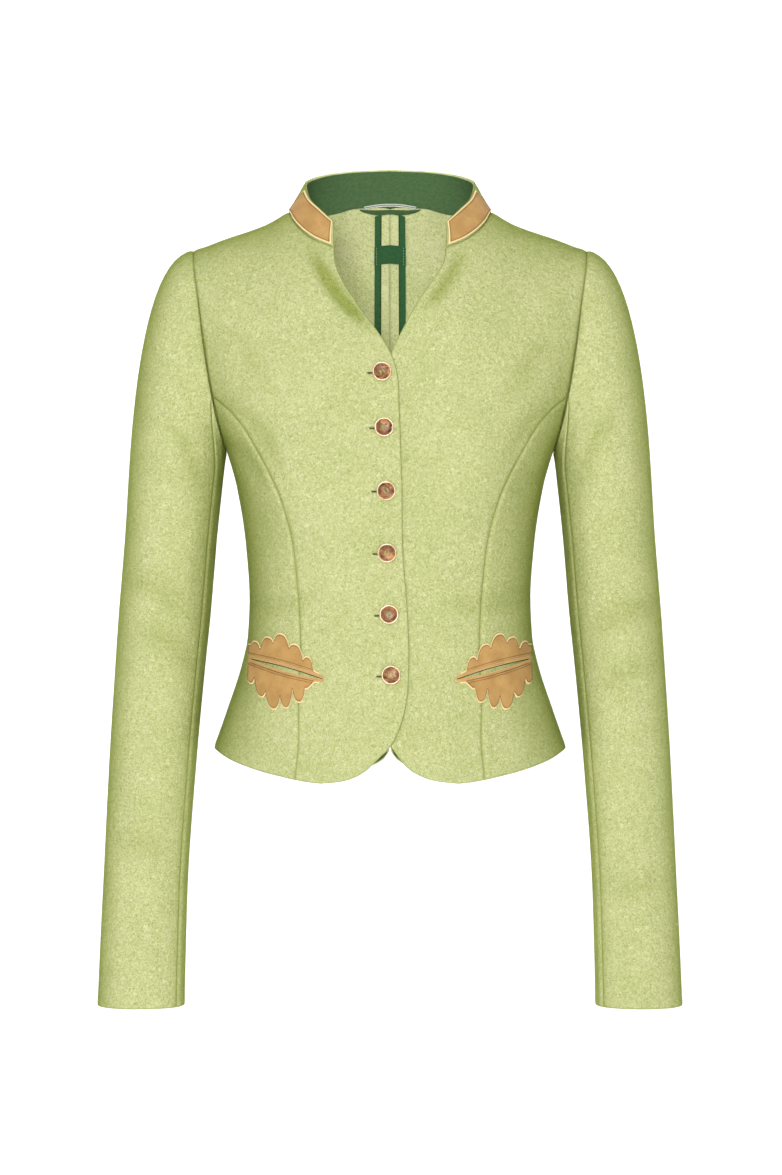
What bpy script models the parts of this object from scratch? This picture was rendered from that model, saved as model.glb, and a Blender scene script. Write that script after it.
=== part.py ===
"""Boiled wool jacket in its worn, hollow form, with each cut and sewn piece as its own solid.

Metres, +Z up. The front faces -Y and the wearer's left is +X. The origin lies between the shoulders, level with
the neck points, where a wearer carries the jacket.
"""

import math
from collections import namedtuple

import bmesh
import bpy
from mathutils import Matrix, Vector
from mathutils.bvhtree import BVHTree

# Cloth thicknesses
WOOL = 0.0020
SUEDE = 0.0011
GREEN_CLOTH = 0.0008
LABEL_CLOTH = 0.0005

# Clearances
SEAM_GAP = 0.0003
LAYER_GAP = 0.0004
PATCH_GAP = 0.0005
OVERLAP_GAP = 0.0012
ALLOWANCE_GAP = 0.0009
COLLAR_LAYER_GAP = 0.0007
BUTTON_GAP = 0.0005

# Levels of the torso, measured at the side, and the plane of the side seams
ARMPIT = -0.2130
SHOULDER = -0.0335
SIDE_PLANE = 0.0050
SHOULDER_SPAN = SHOULDER - ARMPIT
SHOULDER_RUN = SHOULDER_SPAN * math.pi / 2

# Soft fullness that the princess seams give at the bust
BUST_FULLNESS = 0.0100
BUST_X = 0.0800
BUST_WIDTH = 0.0420
BUST_HEIGHT = -0.2430
BUST_LENGTH = 0.0520

# How a trim finds the facets that it lies on
SEARCH_REACH = 0.0060
SEARCH_CLEAR = 0.0006
SEARCH_TRIES = 6

# Steps of the faceted panels
SEAM_ROWS = 13
ARMHOLE_ROWS = 6
NECK_COLUMNS = 4
SHOULDER_COLUMNS = 4
SIDE_COLUMNS = 6
CAP_ROWS = 5
SLEEVE_ROWS = 8
FINE_STEPS = 120
CURVE_STEPS = 12

FRONT = -1
BACK = 1
LEFT = 1
RIGHT = -1
SIDES = (("right", RIGHT), ("left", LEFT))

# Cross-sections of the torso from the hem up to the armpit
Ring = namedtuple("Ring", "height half_width front_depth back_depth roundness")
TORSO_RINGS = (
    Ring(-0.5300, 0.1715, 0.1210, 0.1230, 2.40),
    Ring(-0.4830, 0.1590, 0.1130, 0.1160, 2.40),
    Ring(-0.4470, 0.1467, 0.1070, 0.1070, 2.40),
    Ring(-0.4070, 0.1337, 0.1010, 0.0980, 2.35),
    Ring(-0.3800, 0.1280, 0.0990, 0.0950, 2.35),
    Ring(-0.3460, 0.1265, 0.0980, 0.0930, 2.35),
    Ring(-0.2990, 0.1296, 0.1020, 0.0980, 2.45),
    Ring(-0.2450, 0.1380, 0.1100, 0.1070, 2.60),
    Ring(-0.2130, 0.1470, 0.1090, 0.1100, 2.80),
)

# The armhole: how far out it lies, and the share of the chest's depth that is left there
ArmholeStation = namedtuple("ArmholeStation", "height x depth_share")
ARMHOLE = (
    ArmholeStation(-0.2130, 0.1470, 0.02),
    ArmholeStation(-0.2070, 0.1487, 0.20),
    ArmholeStation(-0.2000, 0.1505, 0.31),
    ArmholeStation(-0.1840, 0.1545, 0.43),
    ArmholeStation(-0.1650, 0.1585, 0.51),
    ArmholeStation(-0.1250, 0.1650, 0.59),
    ArmholeStation(-0.0790, 0.1710, 0.70),
    ArmholeStation(-0.0500, 0.1750, 0.83),
    ArmholeStation(-0.0335, 0.1765, 0.97),
)

# The ridge of the shoulders above the shoulder point, seen from the front and from the back
RidgeStation = namedtuple("RidgeStation", "x front_rise back_rise")
RIDGE = (
    RidgeStation(-0.0300, 0.0660, 0.0780),
    RidgeStation(0.0000, 0.0720, 0.0885),
    RidgeStation(0.0300, 0.0660, 0.0780),
    RidgeStation(0.0520, 0.0550, 0.0610),
    RidgeStation(0.0920, 0.0340, 0.0340),
    RidgeStation(0.1125, 0.0227, 0.0227),
    RidgeStation(0.1485, 0.0101, 0.0101),
    RidgeStation(0.1765, 0.0000, 0.0000),
    RidgeStation(0.2000, -0.0050, -0.0050),
)

# The hem's height round the ring, 0 at the centre front and 180 at the centre back
HemStation = namedtuple("HemStation", "angle height")
HEM = (
    HemStation(0.0, -0.5085),
    HemStation(17.0, -0.5071),
    HemStation(35.0, -0.5000),
    HemStation(56.0, -0.4900),
    HemStation(76.0, -0.4820),
    HemStation(90.0, -0.4800),
    HemStation(115.0, -0.4860),
    HemStation(145.0, -0.4980),
    HemStation(180.0, -0.5065),
)
FRONT_CORNER_ANGLE = 17.0
PRINCESS_HEM_ANGLE = 26.0
BACK_SEAM_HEM_ANGLE = 145.0
VENT_CORNER_ANGLE = 170.0

# Seams and edges above the hem, each in its own side's distance from the centre
Spot = namedtuple("Spot", "x height")
PRINCESS_SEAM = (
    Spot(0.0800, -0.4700),
    Spot(0.0805, -0.4400),
    Spot(0.0790, -0.3800),
    Spot(0.0817, -0.3375),
    Spot(0.0868, -0.2930),
    Spot(0.0967, -0.2580),
    Spot(0.1120, -0.2260),
    Spot(0.1312, -0.1955),
    Spot(0.1455, -0.1800),
)
PRINCESS_TOP = -0.1695
BACK_SEAM = (
    Spot(0.1040, -0.4600),
    Spot(0.0930, -0.4000),
    Spot(0.0900, -0.3460),
    Spot(0.0970, -0.3000),
    Spot(0.1120, -0.2500),
    Spot(0.1300, -0.2080),
    Spot(0.1490, -0.1700),
)
BACK_SEAM_TOP = -0.1480
UPPER_FRONT_EDGE = (
    Spot(0.0391, -0.5046),
    Spot(0.0240, -0.4985),
    Spot(0.0113, -0.4871),
    Spot(-0.0009, -0.4750),
    Spot(-0.0087, -0.4594),
    Spot(-0.0140, -0.4400),
    Spot(-0.0166, -0.4040),
    Spot(-0.0149, -0.3520),
    Spot(-0.0114, -0.3050),
    Spot(-0.0105, -0.2440),
    Spot(-0.0082, -0.1900),
    Spot(-0.0065, -0.1680),
    Spot(-0.0009, -0.1552),
    Spot(0.0087, -0.1435),
    Spot(0.0280, -0.1223),
    Spot(0.0420, -0.1035),
    Spot(0.0487, -0.0880),
    Spot(0.0494, -0.0788),
)
UNDER_FRONT_EDGE = (
    Spot(0.0348, -0.5035),
    Spot(0.0183, -0.4957),
    Spot(0.0026, -0.4776),
    Spot(-0.0070, -0.4600),
    Spot(-0.0135, -0.4350),
    Spot(-0.0150, -0.3800),
    Spot(-0.0150, -0.2600),
    Spot(-0.0140, -0.1960),
    Spot(-0.0090, -0.1730),
    Spot(0.0035, -0.1507),
    Spot(0.0219, -0.1241),
    Spot(0.0380, -0.1040),
    Spot(0.0480, -0.0880),
    Spot(0.0494, -0.0788),
)
VENT_EDGE = (
    Spot(0.0180, -0.5035),
    Spot(0.0080, -0.4985),
    Spot(0.0022, -0.4925),
    Spot(0.0005, -0.4875),
    Spot(0.0000, -0.4840),
    Spot(0.0000, -0.4800),
    Spot(0.0000, -0.4600),
    Spot(0.0000, -0.4000),
    Spot(0.0000, -0.0625),
)
FRONT_NECKLINE = (
    Spot(0.0494, -0.0788),
    Spot(0.0654, -0.0685),
    Spot(0.0763, -0.0584),
    Spot(0.0846, -0.0477),
    Spot(0.0890, -0.0385),
    Spot(0.0920, -0.0335),
)
BACK_NECKLINE = (
    Spot(0.0000, -0.0625),
    Spot(0.0300, -0.0565),
    Spot(0.0520, -0.0500),
    Spot(0.0750, -0.0415),
    Spot(0.0920, -0.0335),
)

# How the two fronts part where they overlap: full this near the centre, none beyond, and none up in the V
OVERLAP_FULL_X = 0.0200
OVERLAP_NONE_X = 0.0560
OVERLAP_FULL_HEIGHT = -0.1500
OVERLAP_NONE_HEIGHT = -0.1100

# Cross-sections of the sleeve below its cap
SleeveRing = namedtuple("SleeveRing", "height centre_x centre_y half_width half_depth")
SLEEVE_RINGS = (
    SleeveRing(-0.7085, 0.2220, -0.0280, 0.0387, 0.0385),
    SleeveRing(-0.6500, 0.2205, -0.0210, 0.0382, 0.0390),
    SleeveRing(-0.5960, 0.2187, -0.0140, 0.0378, 0.0400),
    SleeveRing(-0.4880, 0.2129, -0.0010, 0.0392, 0.0440),
    SleeveRing(-0.4070, 0.2070, 0.0060, 0.0405, 0.0480),
    SleeveRing(-0.3530, 0.2025, 0.0080, 0.0414, 0.0510),
    SleeveRing(-0.2990, 0.1980, 0.0070, 0.0414, 0.0535),
    SleeveRing(-0.2350, 0.1925, 0.0040, 0.0427, 0.0560),
)
SLEEVE_ROUNDNESS = 2.15
FRONT_SLEEVE_SEAM = 32.0
BACK_SLEEVE_SEAM = -50.0
CAP_START_PULL = 0.62
CAP_END_PULL = 0.96
CAP_FORWARD = 0.25
CAP_UNDER_SHARE = 0.30
CAP_CROWN_LOW = 0.45
CAP_CROWN_HIGH = 0.85
CAP_TOP_DROOP = 0.05

# The collar's upper edge, from the centre back to the front end
CollarStation = namedtuple("CollarStation", "share x y z")
COLLAR_TOP = (
    CollarStation(0.00, 0.0000, 0.0540, 0.0460),
    CollarStation(0.20, 0.0330, 0.0500, 0.0440),
    CollarStation(0.38, 0.0640, 0.0300, 0.0375),
    CollarStation(0.52, 0.0765, 0.0040, 0.0280),
    CollarStation(0.68, 0.0720, -0.0240, 0.0120),
    CollarStation(0.84, 0.0610, -0.0430, -0.0010),
    CollarStation(1.00, 0.0496, -0.0570, -0.0130),
)
COLLAR_ROWS = 2
COLLAR_BELLY = 0.0010
COLLAR_FACING_LOW = 0.04
COLLAR_FACING_HIGH = 0.90
PATCH_LOW = 0.12
PATCH_HIGH = 0.90
PATCH_PLACES = (0.3, 1.0, 2.0, 3.0, 4.0, 5.0, 6.0, 7.0, 8.0, 9.2)

# Trims inside the back
NECK_FACING_REACH = 0.0287
NECK_FACING_DEPTH = 0.0060
LOOP_REACH = 0.0255
LOOP_LOW = 0.0108
LOOP_PEAK = 0.0140
LOOP_WIDTH = 0.0026
LOOP_THICKNESS = 0.0009
ALLOWANCE_WIDTH = 0.0140
BINDING_INNER = 0.0083
BINDING_OUTER = 0.0148
ALLOWANCE_TOP = -0.0669
ALLOWANCE_BOTTOM = -0.4280
LABEL_REACH = 0.0152
LABEL_TOP = -0.0828
LABEL_BOTTOM = -0.0940
VENT_FACING_WIDTH = 0.0200
VENT_FACING_TOP = -0.4400
VENT_FACING_INSET = 0.0016

# Pockets, in front view: the slit's ends, its widest opening, and the lobes of the leaf
SLIT_OUTER = Vector((0.1246, -0.3998))
SLIT_INNER = Vector((0.0573, -0.4171))
SLIT_OPENING = 0.0036
SLIT_CLOSED = 0.0006
WELT_WIDTH = 0.0026
WELT_COLUMNS = 12
LEAF_COLUMNS = 18
LEAF_END = 0.90
LEAF_START = -0.01
LEAF_SPINE = 0.0072
Lobe = namedtuple("Lobe", "centre half_width height")
UPPER_LOBES = (
    Lobe(0.12, 0.115, 0.0195),
    Lobe(0.39, 0.190, 0.0310),
    Lobe(0.69, 0.125, 0.0215),
)
LOWER_LOBES = (
    Lobe(0.07, 0.105, 0.0270),
    Lobe(0.29, 0.210, 0.0385),
    Lobe(0.61, 0.165, 0.0275),
)

# Buttons, at their places on the upper front
BUTTONS = (
    Spot(0.0070, -0.1670),
    Spot(0.0052, -0.2016),
    Spot(0.0035, -0.2521),
    Spot(0.0026, -0.3060),
    Spot(0.0009, -0.3602),
    Spot(-0.0009, -0.4135),
)
BUTTON_SIDES = 16
HORN_RADIUS = 0.0071
HORN_HEIGHT = 0.0026
HORN_DISH_RADIUS = 0.0048
HORN_DISH_DEPTH = 0.0008
RIM_INNER_RADIUS = 0.0073
RIM_OUTER_RADIUS = 0.0081
RIM_HEIGHT = 0.0030
RIM_ROUNDING = 0.0005
THREAD_HOLE_RADIUS = 0.0008
THREAD_HOLE_OFFSET = 0.0016
THREAD_HOLE_SIDES = 6

Finish = namedtuple("Finish", "red green blue roughness metallic")
FINISHES = {
    "wool": Finish(0.56, 0.62, 0.28, 0.95, 0.0),
    "suede": Finish(0.55, 0.32, 0.12, 0.85, 0.0),
    "green_cloth": Finish(0.03, 0.11, 0.04, 0.90, 0.0),
    "label_cloth": Finish(0.02, 0.09, 0.04, 0.70, 0.0),
    "loop_cord": Finish(0.60, 0.62, 0.58, 0.50, 0.0),
    "horn": Finish(0.22, 0.12, 0.05, 0.35, 0.0),
    "rim_metal": Finish(0.76, 0.52, 0.30, 0.30, 1.0),
}


# Scene and materials


def clear_scene():
    """Remove every object that the scene starts with."""
    for item in list(bpy.data.objects):
        bpy.data.objects.remove(item, do_unlink=True)


def finish_material(node_name, finish_name):
    """A Principled material for one node."""
    finish = FINISHES[finish_name]
    material = bpy.data.materials.new(f"{node_name}_{finish_name}")
    material.use_nodes = True
    shader = material.node_tree.nodes["Principled BSDF"]
    shader.inputs["Base Color"].default_value = (finish.red, finish.green, finish.blue, 1.0)
    shader.inputs["Roughness"].default_value = finish.roughness
    shader.inputs["Metallic"].default_value = finish.metallic
    return material


def add_object(name, vertices, faces, finish_name):
    """A closed mesh object with its normals facing out."""
    mesh = bpy.data.meshes.new(name)
    mesh.from_pydata([tuple(point) for point in vertices], [], faces)
    builder = bmesh.new()
    builder.from_mesh(mesh)
    bmesh.ops.recalc_face_normals(builder, faces=builder.faces)
    builder.to_mesh(mesh)
    builder.free()
    mesh.shade_smooth()
    mesh.set_sharp_from_angle(angle=math.radians(40))
    item = bpy.data.objects.new(name, mesh)
    bpy.context.scene.collection.objects.link(item)
    mesh.materials.append(finish_material(name, finish_name))
    return item


# Smooth tables and curves


def table_value(rows, column, place):
    """The smooth value of a column between the rows of a table, with no overshoot.

    The first column holds the places, in rising order.
    """
    places = [row[0] for row in rows]
    values = [getattr(row, column) for row in rows]
    if place <= places[0]:
        return values[0]
    if place >= places[-1]:
        return values[-1]
    steps = [high - low for low, high in zip(places, places[1:])]
    slopes = [(high - low) / step for low, high, step in zip(values, values[1:], steps)]
    tangents = [slopes[0]]
    for before, after, first, second in zip(slopes, slopes[1:], steps, steps[1:]):
        if before * after <= 0:
            tangents.append(0.0)
            continue
        first_weight = 2 * second + first
        second_weight = second + 2 * first
        tangents.append((first_weight + second_weight) / (first_weight / before + second_weight / after))
    tangents.append(slopes[-1])
    i = max(k for k in range(len(steps)) if places[k] <= place)
    t = (place - places[i]) / steps[i]
    return (
        (1 + 2 * t) * (1 - t) ** 2 * values[i]
        + t * (1 - t) ** 2 * steps[i] * tangents[i]
        + t * t * (3 - 2 * t) * values[i + 1]
        + t * t * (t - 1) * steps[i] * tangents[i + 1]
    )


def smooth_step(value):
    """A soft 0 to 1 ramp."""
    value = min(max(value, 0.0), 1.0)
    return value * value * (3 - 2 * value)


def smooth_curve(points):
    """Many points along a smooth curve through the given ones."""
    steps = [(end - start).length for start, end in zip(points, points[1:])]
    slopes = [(end - start) / step for start, end, step in zip(points, points[1:], steps)]
    tangents = [slopes[0]]
    for before, after, first, second in zip(slopes, slopes[1:], steps, steps[1:]):
        tangents.append((before * second + after * first) / (first + second))
    tangents.append(slopes[-1])
    curve = []
    for i, step in enumerate(steps):
        for k in range(CURVE_STEPS):
            t = k / CURVE_STEPS
            curve.append(
                points[i] * (2 * t**3 - 3 * t**2 + 1)
                + tangents[i] * step * (t**3 - 2 * t**2 + t)
                + points[i + 1] * (3 * t**2 - 2 * t**3)
                + tangents[i + 1] * step * (t**3 - t**2)
            )
    curve.append(points[-1].copy())
    return curve


def spaced(spots, place, count):
    """Spots along a finely divided line, this many steps apart evenly on the cloth."""
    run = [0.0]
    for start, end in zip(spots, spots[1:]):
        run.append(run[-1] + (place(end) - place(start)).length)
    picked = [spots[0].copy()]
    i = 0
    for step in range(1, count):
        target = run[-1] * step / count
        while run[i + 1] < target:
            i += 1
        share = (target - run[i]) / (run[i + 1] - run[i])
        picked.append(spots[i].lerp(spots[i + 1], share))
    picked.append(spots[-1].copy())
    return picked


# The torso's form: a spot on it is (x, run) on the front or back, or (angle, run) round the side


def run_of(height):
    """The way up the cloth to a height: upright below the armpit, a quarter ellipse over the shoulder."""
    if height <= ARMPIT:
        return height - ARMPIT
    return SHOULDER_SPAN * math.asin(min((height - ARMPIT) / SHOULDER_SPAN, 1.0))


def height_of(run):
    """The height, at the side, of a way up the cloth."""
    if run <= 0:
        return ARMPIT + run
    return ARMPIT + SHOULDER_SPAN * math.sin(min(run, SHOULDER_RUN) / SHOULDER_SPAN)


def ring_at(run):
    """The cross-section at a way up the cloth, and how far the shoulder's slope lifts it."""
    height = height_of(run)
    if run <= 0:
        columns = ("half_width", "front_depth", "back_depth", "roundness")
        return (*(table_value(TORSO_RINGS, column, height) for column in columns), 0.0)
    top = TORSO_RINGS[-1]
    lift = (height - ARMPIT) / SHOULDER_SPAN
    depth_left = math.sqrt(max(1 - lift * lift, 0.0))
    share = table_value(ARMHOLE, "depth_share", height)
    half_width = table_value(ARMHOLE, "x", height) / (1 - share**top.roundness) ** (1 / top.roundness)
    return half_width, top.front_depth * depth_left, top.back_depth * depth_left, top.roundness, lift


def on_ring(face, x, depth_share, run, ring):
    """The point of a cross-section at a distance from the centre, on the front or the back."""
    height = height_of(run)
    if face == FRONT:
        away_x = (abs(x) - BUST_X) / BUST_WIDTH
        away_height = (height - BUST_HEIGHT) / BUST_LENGTH
        bust = BUST_FULLNESS * math.exp(-away_x * away_x - away_height * away_height)
        y = SIDE_PLANE - ring[1] * depth_share - bust * min(depth_share * 2, 1.0)
        rise = table_value(RIDGE, "front_rise", abs(x))
    else:
        y = SIDE_PLANE + ring[2] * depth_share
        rise = table_value(RIDGE, "back_rise", abs(x))
    return Vector((x, y, height + ring[4] * rise))


def face_point(face, spot):
    """The outer surface of the front or the back at (x, run)."""
    ring = ring_at(spot[1])
    roundness = ring[3]
    share = max(1 - (abs(spot[0]) / ring[0]) ** roundness, 0.0) ** (1 / roundness)
    return on_ring(face, spot[0], share, spot[1], ring)


def round_point(spot):
    """The outer surface round the side at (angle in degrees from the centre front, run)."""
    ring = ring_at(spot[1])
    power = 2 / ring[3]
    angle = math.radians(spot[0])
    x = ring[0] * abs(math.sin(angle)) ** power
    face = FRONT if math.cos(angle) > 0 else BACK
    return on_ring(face, x, abs(math.cos(angle)) ** power, spot[1], ring)


def front_point(spot):
    """The front's outer surface at (x, run)."""
    return face_point(FRONT, spot)


def back_point(spot):
    """The back's outer surface at (x, run)."""
    return face_point(BACK, spot)


def outward(place, spot, sign=1, across=1e-5):
    """The unit normal of a surface that is given by a function of two coordinates."""
    along = 1e-5
    du = place(spot + Vector((across, 0))) - place(spot - Vector((across, 0)))
    high = min(spot[1] + along, SHOULDER_RUN)
    dv = place(Vector((spot[0], high))) - place(Vector((spot[0], high - 2 * along)))
    return sign * du.cross(dv).normalized()


def front_normal(spot):
    """The front's outward direction."""
    return outward(front_point, spot)


def back_normal(spot):
    """The back's outward direction."""
    return outward(back_point, spot, sign=-1)


def round_normal(spot):
    """The outward direction round the side."""
    return outward(round_point, spot, across=1e-3)


def angle_of(face, spot):
    """The angle round the ring of a spot on the front or the back."""
    ring = ring_at(spot[1])
    angle = math.degrees(math.asin(min((abs(spot[0]) / ring[0]) ** (ring[3] / 2), 1.0)))
    return Vector((angle if face == FRONT else 180 - angle, spot[1]))


def hem_spot(angle):
    """The hem at an angle round the ring, as (x, run)."""
    run = run_of(table_value(HEM, "height", angle))
    ring = ring_at(run)
    return Vector((ring[0] * math.sin(math.radians(angle)) ** (2 / ring[3]), run))


def armhole_spot(run):
    """The armhole's edge at a way up the cloth, as (x, run)."""
    return Vector((table_value(ARMHOLE, "x", height_of(run)), run))


def spots_of(table):
    """A seam's table as (x, run) spots."""
    return [Vector((spot.x, run_of(spot.height))) for spot in table]


# Seam and edge lines of one side, as evenly spaced spots


def fine_armhole(low_height, high_run):
    """Finely divided spots up the armhole's edge."""
    low = run_of(low_height)
    steps = range(FINE_STEPS + 1)
    return [armhole_spot(low + (high_run - low) * step / FINE_STEPS) for step in steps]


def princess_line():
    """The front princess seam, hem to armhole."""
    top = armhole_spot(run_of(PRINCESS_TOP))
    spots = smooth_curve([hem_spot(PRINCESS_HEM_ANGLE), *spots_of(PRINCESS_SEAM), top])
    return spaced(spots, front_point, SEAM_ROWS)


def back_seam_line():
    """The side back seam, hem to armhole."""
    top = armhole_spot(run_of(BACK_SEAM_TOP))
    spots = smooth_curve([hem_spot(BACK_SEAM_HEM_ANGLE), *spots_of(BACK_SEAM), top])
    return spaced(spots, back_point, SEAM_ROWS)


def back_centre_curve():
    """The centre back's edge, from the hem round the vent's corner and up to the neck."""
    return smooth_curve([hem_spot(VENT_CORNER_ANGLE), *spots_of(VENT_EDGE)])


def back_centre_line():
    """The centre back's edge in the panel's rows."""
    return spaced(back_centre_curve(), back_point, SEAM_ROWS + ARMHOLE_ROWS)


def armhole_front_line():
    """The armhole's front edge, from the princess seam to the shoulder point."""
    return spaced(fine_armhole(PRINCESS_TOP, SHOULDER_RUN), front_point, ARMHOLE_ROWS)


def armhole_back_line():
    """The armhole's back edge, from the side back seam to the shoulder point."""
    return spaced(fine_armhole(BACK_SEAM_TOP, SHOULDER_RUN), back_point, ARMHOLE_ROWS)


def armhole_under_line():
    """The armhole's lower edge, from the princess seam under the arm to the back seam, as (angle, run)."""
    front = [angle_of(FRONT, spot) for spot in reversed(fine_armhole(PRINCESS_TOP, 0.0))]
    back = [angle_of(BACK, spot) for spot in fine_armhole(BACK_SEAM_TOP, 0.0)]
    front.reverse()
    back.reverse()
    return spaced([*front, Vector((90.0, 0.0)), *back], round_point, SIDE_COLUMNS)


def shoulder_line():
    """The shoulder seam from the neck point to the shoulder point."""
    neck_x = FRONT_NECKLINE[-1].x
    point_x = ARMHOLE[-1].x
    shares = [step / SHOULDER_COLUMNS for step in range(SHOULDER_COLUMNS + 1)]
    return [Vector((neck_x + (point_x - neck_x) * share, SHOULDER_RUN)) for share in shares]


def front_neck_line():
    """The front neckline, from the collar's end to the neck point."""
    return spaced(smooth_curve(spots_of(FRONT_NECKLINE)), front_point, NECK_COLUMNS)


def back_neck_line():
    """The back neckline, from the centre back to the neck point."""
    return spaced(smooth_curve(spots_of(BACK_NECKLINE)), back_point, NECK_COLUMNS)


# Grids and walls


def blended(inner, outer, bottom, top):
    """A grid of spots whose four edges are the given lines."""
    rows = len(inner) - 1
    columns = len(bottom) - 1
    grid = []
    for row in range(rows + 1):
        v = row / rows
        line = []
        for column in range(columns + 1):
            u = column / columns
            sides = inner[row] * (1 - u) + outer[row] * u
            ends = bottom[column] * (1 - v) + top[column] * v
            low = bottom[0] * (1 - u) + bottom[-1] * u
            high = top[0] * (1 - u) + top[-1] * u
            line.append(sides + ends - low * (1 - v) - high * v)
        grid.append(line)
    return grid


def transposed(grid):
    """Rows as columns."""
    return [list(line) for line in zip(*grid)]


def edge_pull(grid, distance):
    """How far each point moves to draw a piece's edges in for its seams."""
    moves = [[Vector((0, 0, 0)) for _ in line] for line in grid]
    for line, shift in ((0, 1), (len(grid) - 1, len(grid) - 2)):
        for k, point in enumerate(grid[line]):
            moves[line][k] += (grid[shift][k] - point).normalized() * distance
    for r, line in enumerate(grid):
        moves[r][0] += (line[1] - line[0]).normalized() * distance
        moves[r][-1] += (line[-2] - line[-1]).normalized() * distance
    return moves


def wall(name, outer, inner, finish_name, side=LEFT, gap=SEAM_GAP):
    """A closed wall between two grids of points, its edges drawn in by half a seam gap."""
    moves = edge_pull(outer, gap / 2)
    rows = len(outer)
    columns = len(outer[0])
    points = []
    for layer in (outer, inner):
        for r in range(rows):
            for c in range(columns):
                point = layer[r][c] + moves[r][c]
                points.append(Vector((side * point.x, point.y, point.z)))
    back = rows * columns
    faces = []
    for r in range(rows - 1):
        for c in range(columns - 1):
            corner = r * columns + c
            beside = corner + 1
            above = corner + columns
            across = above + 1
            if (points[corner] - points[across]).length <= (points[beside] - points[above]).length:
                halves = ((corner, beside, across), (corner, across, above))
            else:
                halves = ((corner, beside, above), (beside, across, above))
            for face in halves:
                faces.append(face)
                faces.append(tuple(back + k for k in reversed(face)))
    rim = [*range(columns)]
    rim += [r * columns + columns - 1 for r in range(1, rows)]
    rim += [(rows - 1) * columns + c for c in reversed(range(columns - 1))]
    rim += [r * columns for r in reversed(range(1, rows - 1))]
    for start, end in zip(rim, rim[1:] + rim[:1]):
        down = (points[start] - points[back + end]).length
        up = (points[end] - points[back + start]).length
        if down <= up:
            faces += [(start, back + start, back + end), (start, back + end, end)]
        else:
            faces += [(start, back + start, end), (end, back + start, back + end)]
    add_object(name, points, faces, finish_name)
    return points, faces


def layer_of(spots, place, direction, outer_lift, inner_lift):
    """Two grids of points that lie these distances off a surface."""
    outer = []
    inner = []
    for line in spots:
        points = [place(spot) for spot in line]
        normals = [direction(spot) for spot in line]
        outer.append([p + n * outer_lift(s) for p, n, s in zip(points, normals, line)])
        inner.append([p + n * inner_lift(s) for p, n, s in zip(points, normals, line)])
    return outer, inner


def even(distance):
    """The same distance everywhere."""
    return lambda spot: distance


def surface_tree(pieces):
    """A search tree over the facets of some pieces."""
    points = []
    faces = []
    for piece_points, piece_faces in pieces:
        start = len(points)
        points += piece_points
        faces += [tuple(start + k for k in face) for face in piece_faces]
    return BVHTree.FromPolygons(points, faces)


def facet_lift(tree, place, direction, spot, sign):
    """How far the facets that face out (1) or in (-1) stand off the smooth surface at a spot."""
    spot = Vector((max(abs(spot[0]), SEARCH_CLEAR), spot[1]))
    for _ in range(SEARCH_TRIES):
        point = place(spot)
        normal = direction(spot)
        hit = tree.ray_cast(point + normal * sign * SEARCH_REACH, -sign * normal, 2 * SEARCH_REACH)[0]
        if hit is not None:
            return (hit - point).dot(normal)
        spot[1] -= SEARCH_CLEAR
    return 0.0 if sign > 0 else -WOOL


def grid_normals(grid):
    """Unit normals of a grid of points, from its neighbours."""
    normals = []
    for r, line in enumerate(grid):
        above = grid[min(r + 1, len(grid) - 1)]
        below = grid[max(r - 1, 0)]
        normals.append([])
        for c in range(len(line)):
            across = line[min(c + 1, len(line) - 1)] - line[max(c - 1, 0)]
            normals[-1].append(across.cross(above[c] - below[c]).normalized())
    return normals


# Torso panels


def overlap_lift(sign):
    """How far a front moves out or in, so that one can lie on the other."""
    full = (WOOL + OVERLAP_GAP) / 2

    def lift(spot):
        across = (OVERLAP_NONE_X - spot[0]) / (OVERLAP_NONE_X - OVERLAP_FULL_X)
        up = (OVERLAP_NONE_HEIGHT - height_of(spot[1])) / (OVERLAP_NONE_HEIGHT - OVERLAP_FULL_HEIGHT)
        return sign * full * smooth_step(across) * smooth_step(up)

    return lift


def make_front(side_name, side, edge, sign):
    """One front panel, from its free edge to the princess seam and the armhole."""
    corner = hem_spot(FRONT_CORNER_ANGLE)
    rows = SEAM_ROWS + ARMHOLE_ROWS
    inner = spaced(smooth_curve([corner, *spots_of(edge)]), front_point, rows)
    outer = princess_line() + armhole_front_line()[1:]
    top = front_neck_line() + shoulder_line()[1:]
    columns = len(top) - 1
    turn = PRINCESS_HEM_ANGLE - FRONT_CORNER_ANGLE
    bottom = [hem_spot(FRONT_CORNER_ANGLE + turn * step / columns) for step in range(columns + 1)]
    lift = overlap_lift(sign)
    layers = layer_of(
        blended(inner, outer, bottom, top), front_point, front_normal, lift, lambda spot: lift(spot) - WOOL
    )
    return wall(f"front_{side_name}", *layers, "wool", side)


def make_side(side_name, side):
    """One side panel, from the princess seam under the arm to the back seam."""
    inner = [angle_of(FRONT, spot) for spot in princess_line()]
    outer = [angle_of(BACK, spot) for spot in back_seam_line()]
    top = armhole_under_line()
    turn = BACK_SEAM_HEM_ANGLE - PRINCESS_HEM_ANGLE
    angles = [PRINCESS_HEM_ANGLE + turn * step / SIDE_COLUMNS for step in range(SIDE_COLUMNS + 1)]
    bottom = [Vector((angle, run_of(table_value(HEM, "height", angle)))) for angle in angles]
    spots = blended(inner, outer, bottom, top)
    layers = layer_of(spots, round_point, round_normal, even(0), even(-WOOL))
    return wall(f"side_{side_name}", *layers, "wool", side)


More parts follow.
